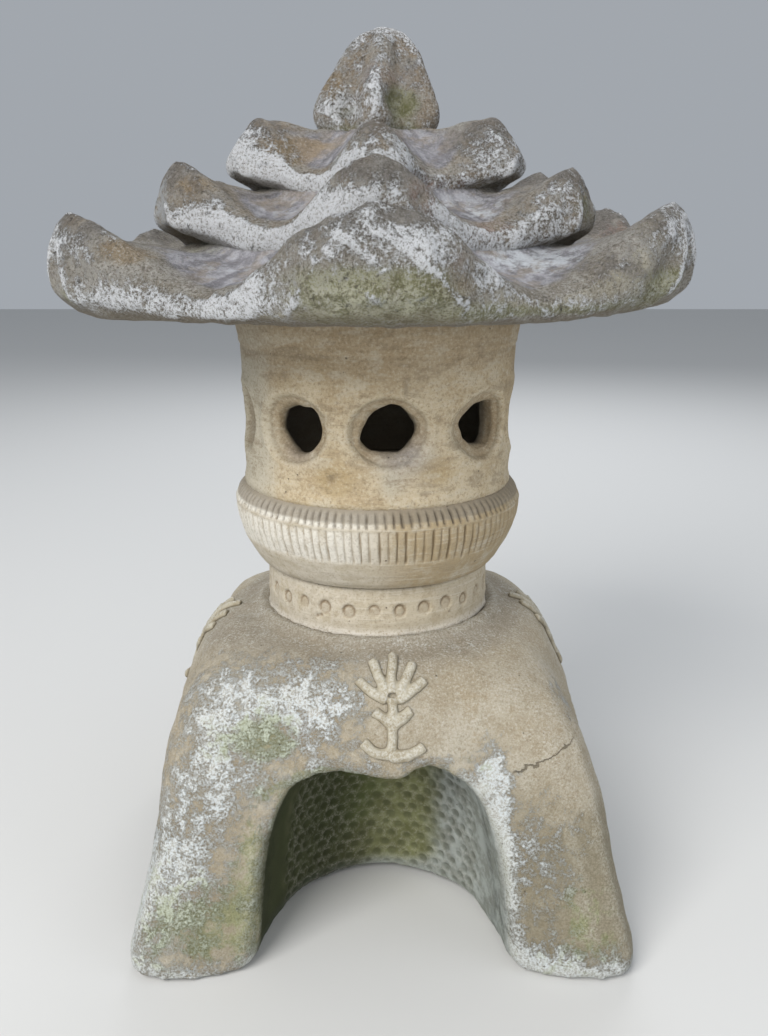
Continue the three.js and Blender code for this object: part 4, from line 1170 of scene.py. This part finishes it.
rim = fade(rel, 2, 6) * fade(clay.facing[:, 2], 0.8, 0.4) * fade(clay.out, 66, 76)
tip = share * fade(clay.out, 66, 88) * fade(rel, 18, 34)
left = fade(clay.angle, 2, -8) * fade(clay.angle, -64, -52)
hidden = fade(at[:, 1], -40, 0)
clay.marks["crust"] = (
    1.1 * rim * fade(rel, 32, 14) * left + 0.6 * rim * hidden + 0.45 * rim
    + 0.55 * fade(clay.proud(8), 0.15, 0.8) + 0.6 * patch(at, (-88, -52, 532), (12, 16, 18))
    + 0.4 * patch(at, (10, -90, 520), (14, 14, 16))
)
clay.marks["valley"] = valley * fade(clay.proud(36), 2.0, -0.3)
clay.marks["soot"] = (
    0.5 * tip * fade(rel, 28, 42) + 0.45 * share * top_side * fade(clay.out, 50, 72)
    + 0.4 * rim * fade(rel, 12, 20) + 0.55 * patch(at, (50, -52, 535), (22, 18, 12))
)
clay.marks["rust"] = (
    0.85 * patch(at, (-58, -56, 528), (22, 18, 12)) + 0.5 * patch(at, (-40, -46, 532), (16, 16, 9))
    + 0.3 * valley * fade(lumps(at, 22, 97), 0.1, 0.6)
)
clay.marks["moss"] = (
    1.0 * fade(rel, 9, 3) * fade(clay.out, 60, 72) * left + 0.5 * patch(at, (56, -46, 526), (14, 14, 8))
    + 0.55 * patch(at, (66, -50, 512), (16, 16, 8)) + 0.3 * patch(at, (92, -46, 526), (10, 14, 14))
)
clay.marks["mould"] = fade(rel, 8, 2) * fade(clay.out, 58, 70) * (0.5 + 0.5 * left)
clay.marks["bloom"] = (
    0.55 * patch(at, (-92, -50, 528), (9, 16, 16)) + 0.35 * patch(at, (8, -80, 528), (12, 16, 14))
)
clay.marks["pink"] = broken + 0.5 * patch(at, (14, -62, 540), (12, 12, 8))
clay.marks["streak"] = 0.5 + 0.5 * combed(clay, 98, 3.4, 24)
# surfaces facing down, darkened in the paint: painted shade under the tier
clay.marks["under"] = fade(clay.facing[:, 2], -0.6, -0.95)
upper = clay.piece("roof_upper_tier_clay", roof_finish("crusted_upper_tier", warm=1.0))
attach(upper, "roof")
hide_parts("roof_upper_tier")

# ---------------------------------------------------------------- the bud
# The solid six-sided knob that tops the roof, luted down over the last tier. A thumb has left a
# shallow pocket low in the faces beside the front ridge; the left one has a pinhole, the right one moss.
BUD_GRAIN = 1.25
bud_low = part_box("roof_bud")[0] * MM
clay = blank("roof_bud", BUD_GRAIN, 7)
rel = clay.up - bud_low.z
share, nearest = corner_share(clay, 9)
between = np.exp(-(((np.abs(clay.angle - nearest) - 30) / 13) ** 2))
clay.push((1.5 * share - 2.0 * between) * fade(rel, 64, 50) * fade(rel, 0, 8))
lean = fade(rel, 20, 68)
clay.push(4.5 * lean, (1, 0, 0))
clay.push(3.0 * fade(rel, 34, 52) * fade(rel, 70, 60))
clay.push(2.2 * patch(clay.at, (26, -10, 575), (16, 24, 20)), (1, 0, 0))
clay.push(2.6 * patch(clay.at, (-2, -42, 566), (6, 14, 22)))
for centre, size, deep in (
    ((-20, -35, 559), (9, 10, 8), 6.0), ((16, -37, 562), (9, 10, 9), 6.5),
    ((-22, -30, 557), (1.8, 4, 1.8), 3.0),
    ((34, 4, 560), (9, 12, 8), 4.0), ((-33, 4, 560), (9, 12, 8), 4.0), ((4, 34, 560), (14, 9, 8), 4.0),
):
    clay.push(-deep * patch(clay.at, centre, size))
clay.push(-1.8 * fade(rel, 9, 3) * fade(clay.out, 33, 38), (0, 0, 1))
weather = fade(rel, 0.5, 4)
roughen(clay, weather, 0.75)
at = clay.at
share = corner_share(clay, 14)[0]
clay.marks["crust"] = (
    0.26 + 0.4 * fade(rel, 50, 66) + 0.25 * share * fade(clay.proud(12), 0.1, 0.8)
    + 0.55 * patch(at, (-22, -33, 558), (13, 12, 10)) + 0.4 * patch(at, (0, -40, 564), (6, 9, 14))
    - 0.4 * patch(at, (17, -35, 561), (10, 10, 9))
)
clay.marks["valley"] = 0.5 * patch(at, (-2, -32, 574), (9, 12, 12))
clay.marks["soot"] = (
    0.32 + 0.3 * patch(at, (20, -26, 582), (11, 14, 12)) + 0.5 * patch(at, (-22, -32, 557), 3)
)
clay.marks["rust"] = 0.6 * patch(at, (-26, -26, 572), (14, 14, 10)) + 0.3 * fade(lumps(at, 18, 99), 0.1, 0.6)
clay.marks["moss"] = (
    1.2 * patch(at, (16, -32, 561), (11, 16, 10)) + 0.5 * patch(at, (-19, -30, 557), (8, 12, 6))
    + 0.45 * fade(rel, 12, 2)
)
clay.marks["bloom"] = 0.5 * patch(at, (-4, -38, 560), (8, 9, 14))
clay.marks["mould"] = (
    1.3 * patch(at, (16, -32, 561), (9, 16, 8)) + 0.5 * patch(at, (-19, -30, 556), (7, 12, 5))
)
clay.marks["pink"] = 0.25 * patch(at, (14, -30, 575), (12, 12, 10))
clay.marks["streak"] = np.full(len(at), 0.5)
bud = clay.piece("roof_bud_clay", roof_finish("crusted_bud", warm=1.2))
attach(bud, "roof")
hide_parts("roof_bud")

# ---------------------------------------------------------------- the studio
# A plain pale floor and a soft sky. A large soft lamp stands high on the left, with weaker ones in
# front, on the right and behind.
work = bmesh.new()
bmesh.ops.create_grid(work, x_segments=1, y_segments=1, size=6)
mesh = bpy.data.meshes.new("floor")
work.to_mesh(mesh)
work.free()
floor = bpy.data.objects.new("floor", mesh)
floor.location.z = -0.0005
bpy.context.scene.collection.objects.link(floor)
paint = Paint("pale_floor")
paint.finish((0.62, 0.62, 0.61, 1), 0.9, paint.grain(200, 2), 0.01)
mesh.materials.append(paint.material)

world = bpy.data.worlds.new("soft_sky")
world.use_nodes = True
sky = world.node_tree.nodes["Background"]
sky.inputs["Color"].default_value = (0.86, 0.92, 1.0, 1)
sky.inputs["Strength"].default_value = 0.42
bpy.context.scene.world = world


def lamp(name, place, aim, size, power, tint):
    light = bpy.data.lights.new(name, "AREA")
    light.shape = "SQUARE"
    light.size = size
    light.energy = power
    light.color = tint
    holder = bpy.data.objects.new(name, light)
    bpy.context.scene.collection.objects.link(holder)
    holder.location = place
    away = np.array(place) - np.array(aim)
    flat = math.hypot(away[0], away[1])
    holder.rotation_euler = (math.atan2(flat, away[2]), 0, math.atan2(away[0], -away[1]))


lamp("key", (-1.25, -1.75, 1.95), (0, 0, 0.3), 1.4, 72, (1.0, 0.98, 0.95))
lamp("front", (0.4, -2.4, 0.9), (0, 0, 0.3), 1.4, 14, (1.0, 0.98, 0.96))
lamp("fill", (1.8, -0.9, 1.1), (0, 0, 0.35), 1.6, 9, (0.93, 0.96, 1.0))
lamp("back", (0.3, 1.9, 1.8), (0, 0, 0.4), 1.5, 24, (0.95, 0.97, 1.0))

camera = bpy.data.objects.new("camera", bpy.data.cameras.new("camera"))
camera.data.sensor_width = 36
camera.data.lens = 33.51  # mm; the camera stands 0.7 m from the lantern's axis
camera.data.shift_x = 0.0017
camera.location = (0.0037, -0.7019, 0.4783)
camera.rotation_euler = (math.radians(90 - 16.305), 0, 0)
bpy.context.scene.collection.objects.link(camera)
bpy.context.scene.camera = camera
bpy.context.scene.view_settings.view_transform = "Standard"
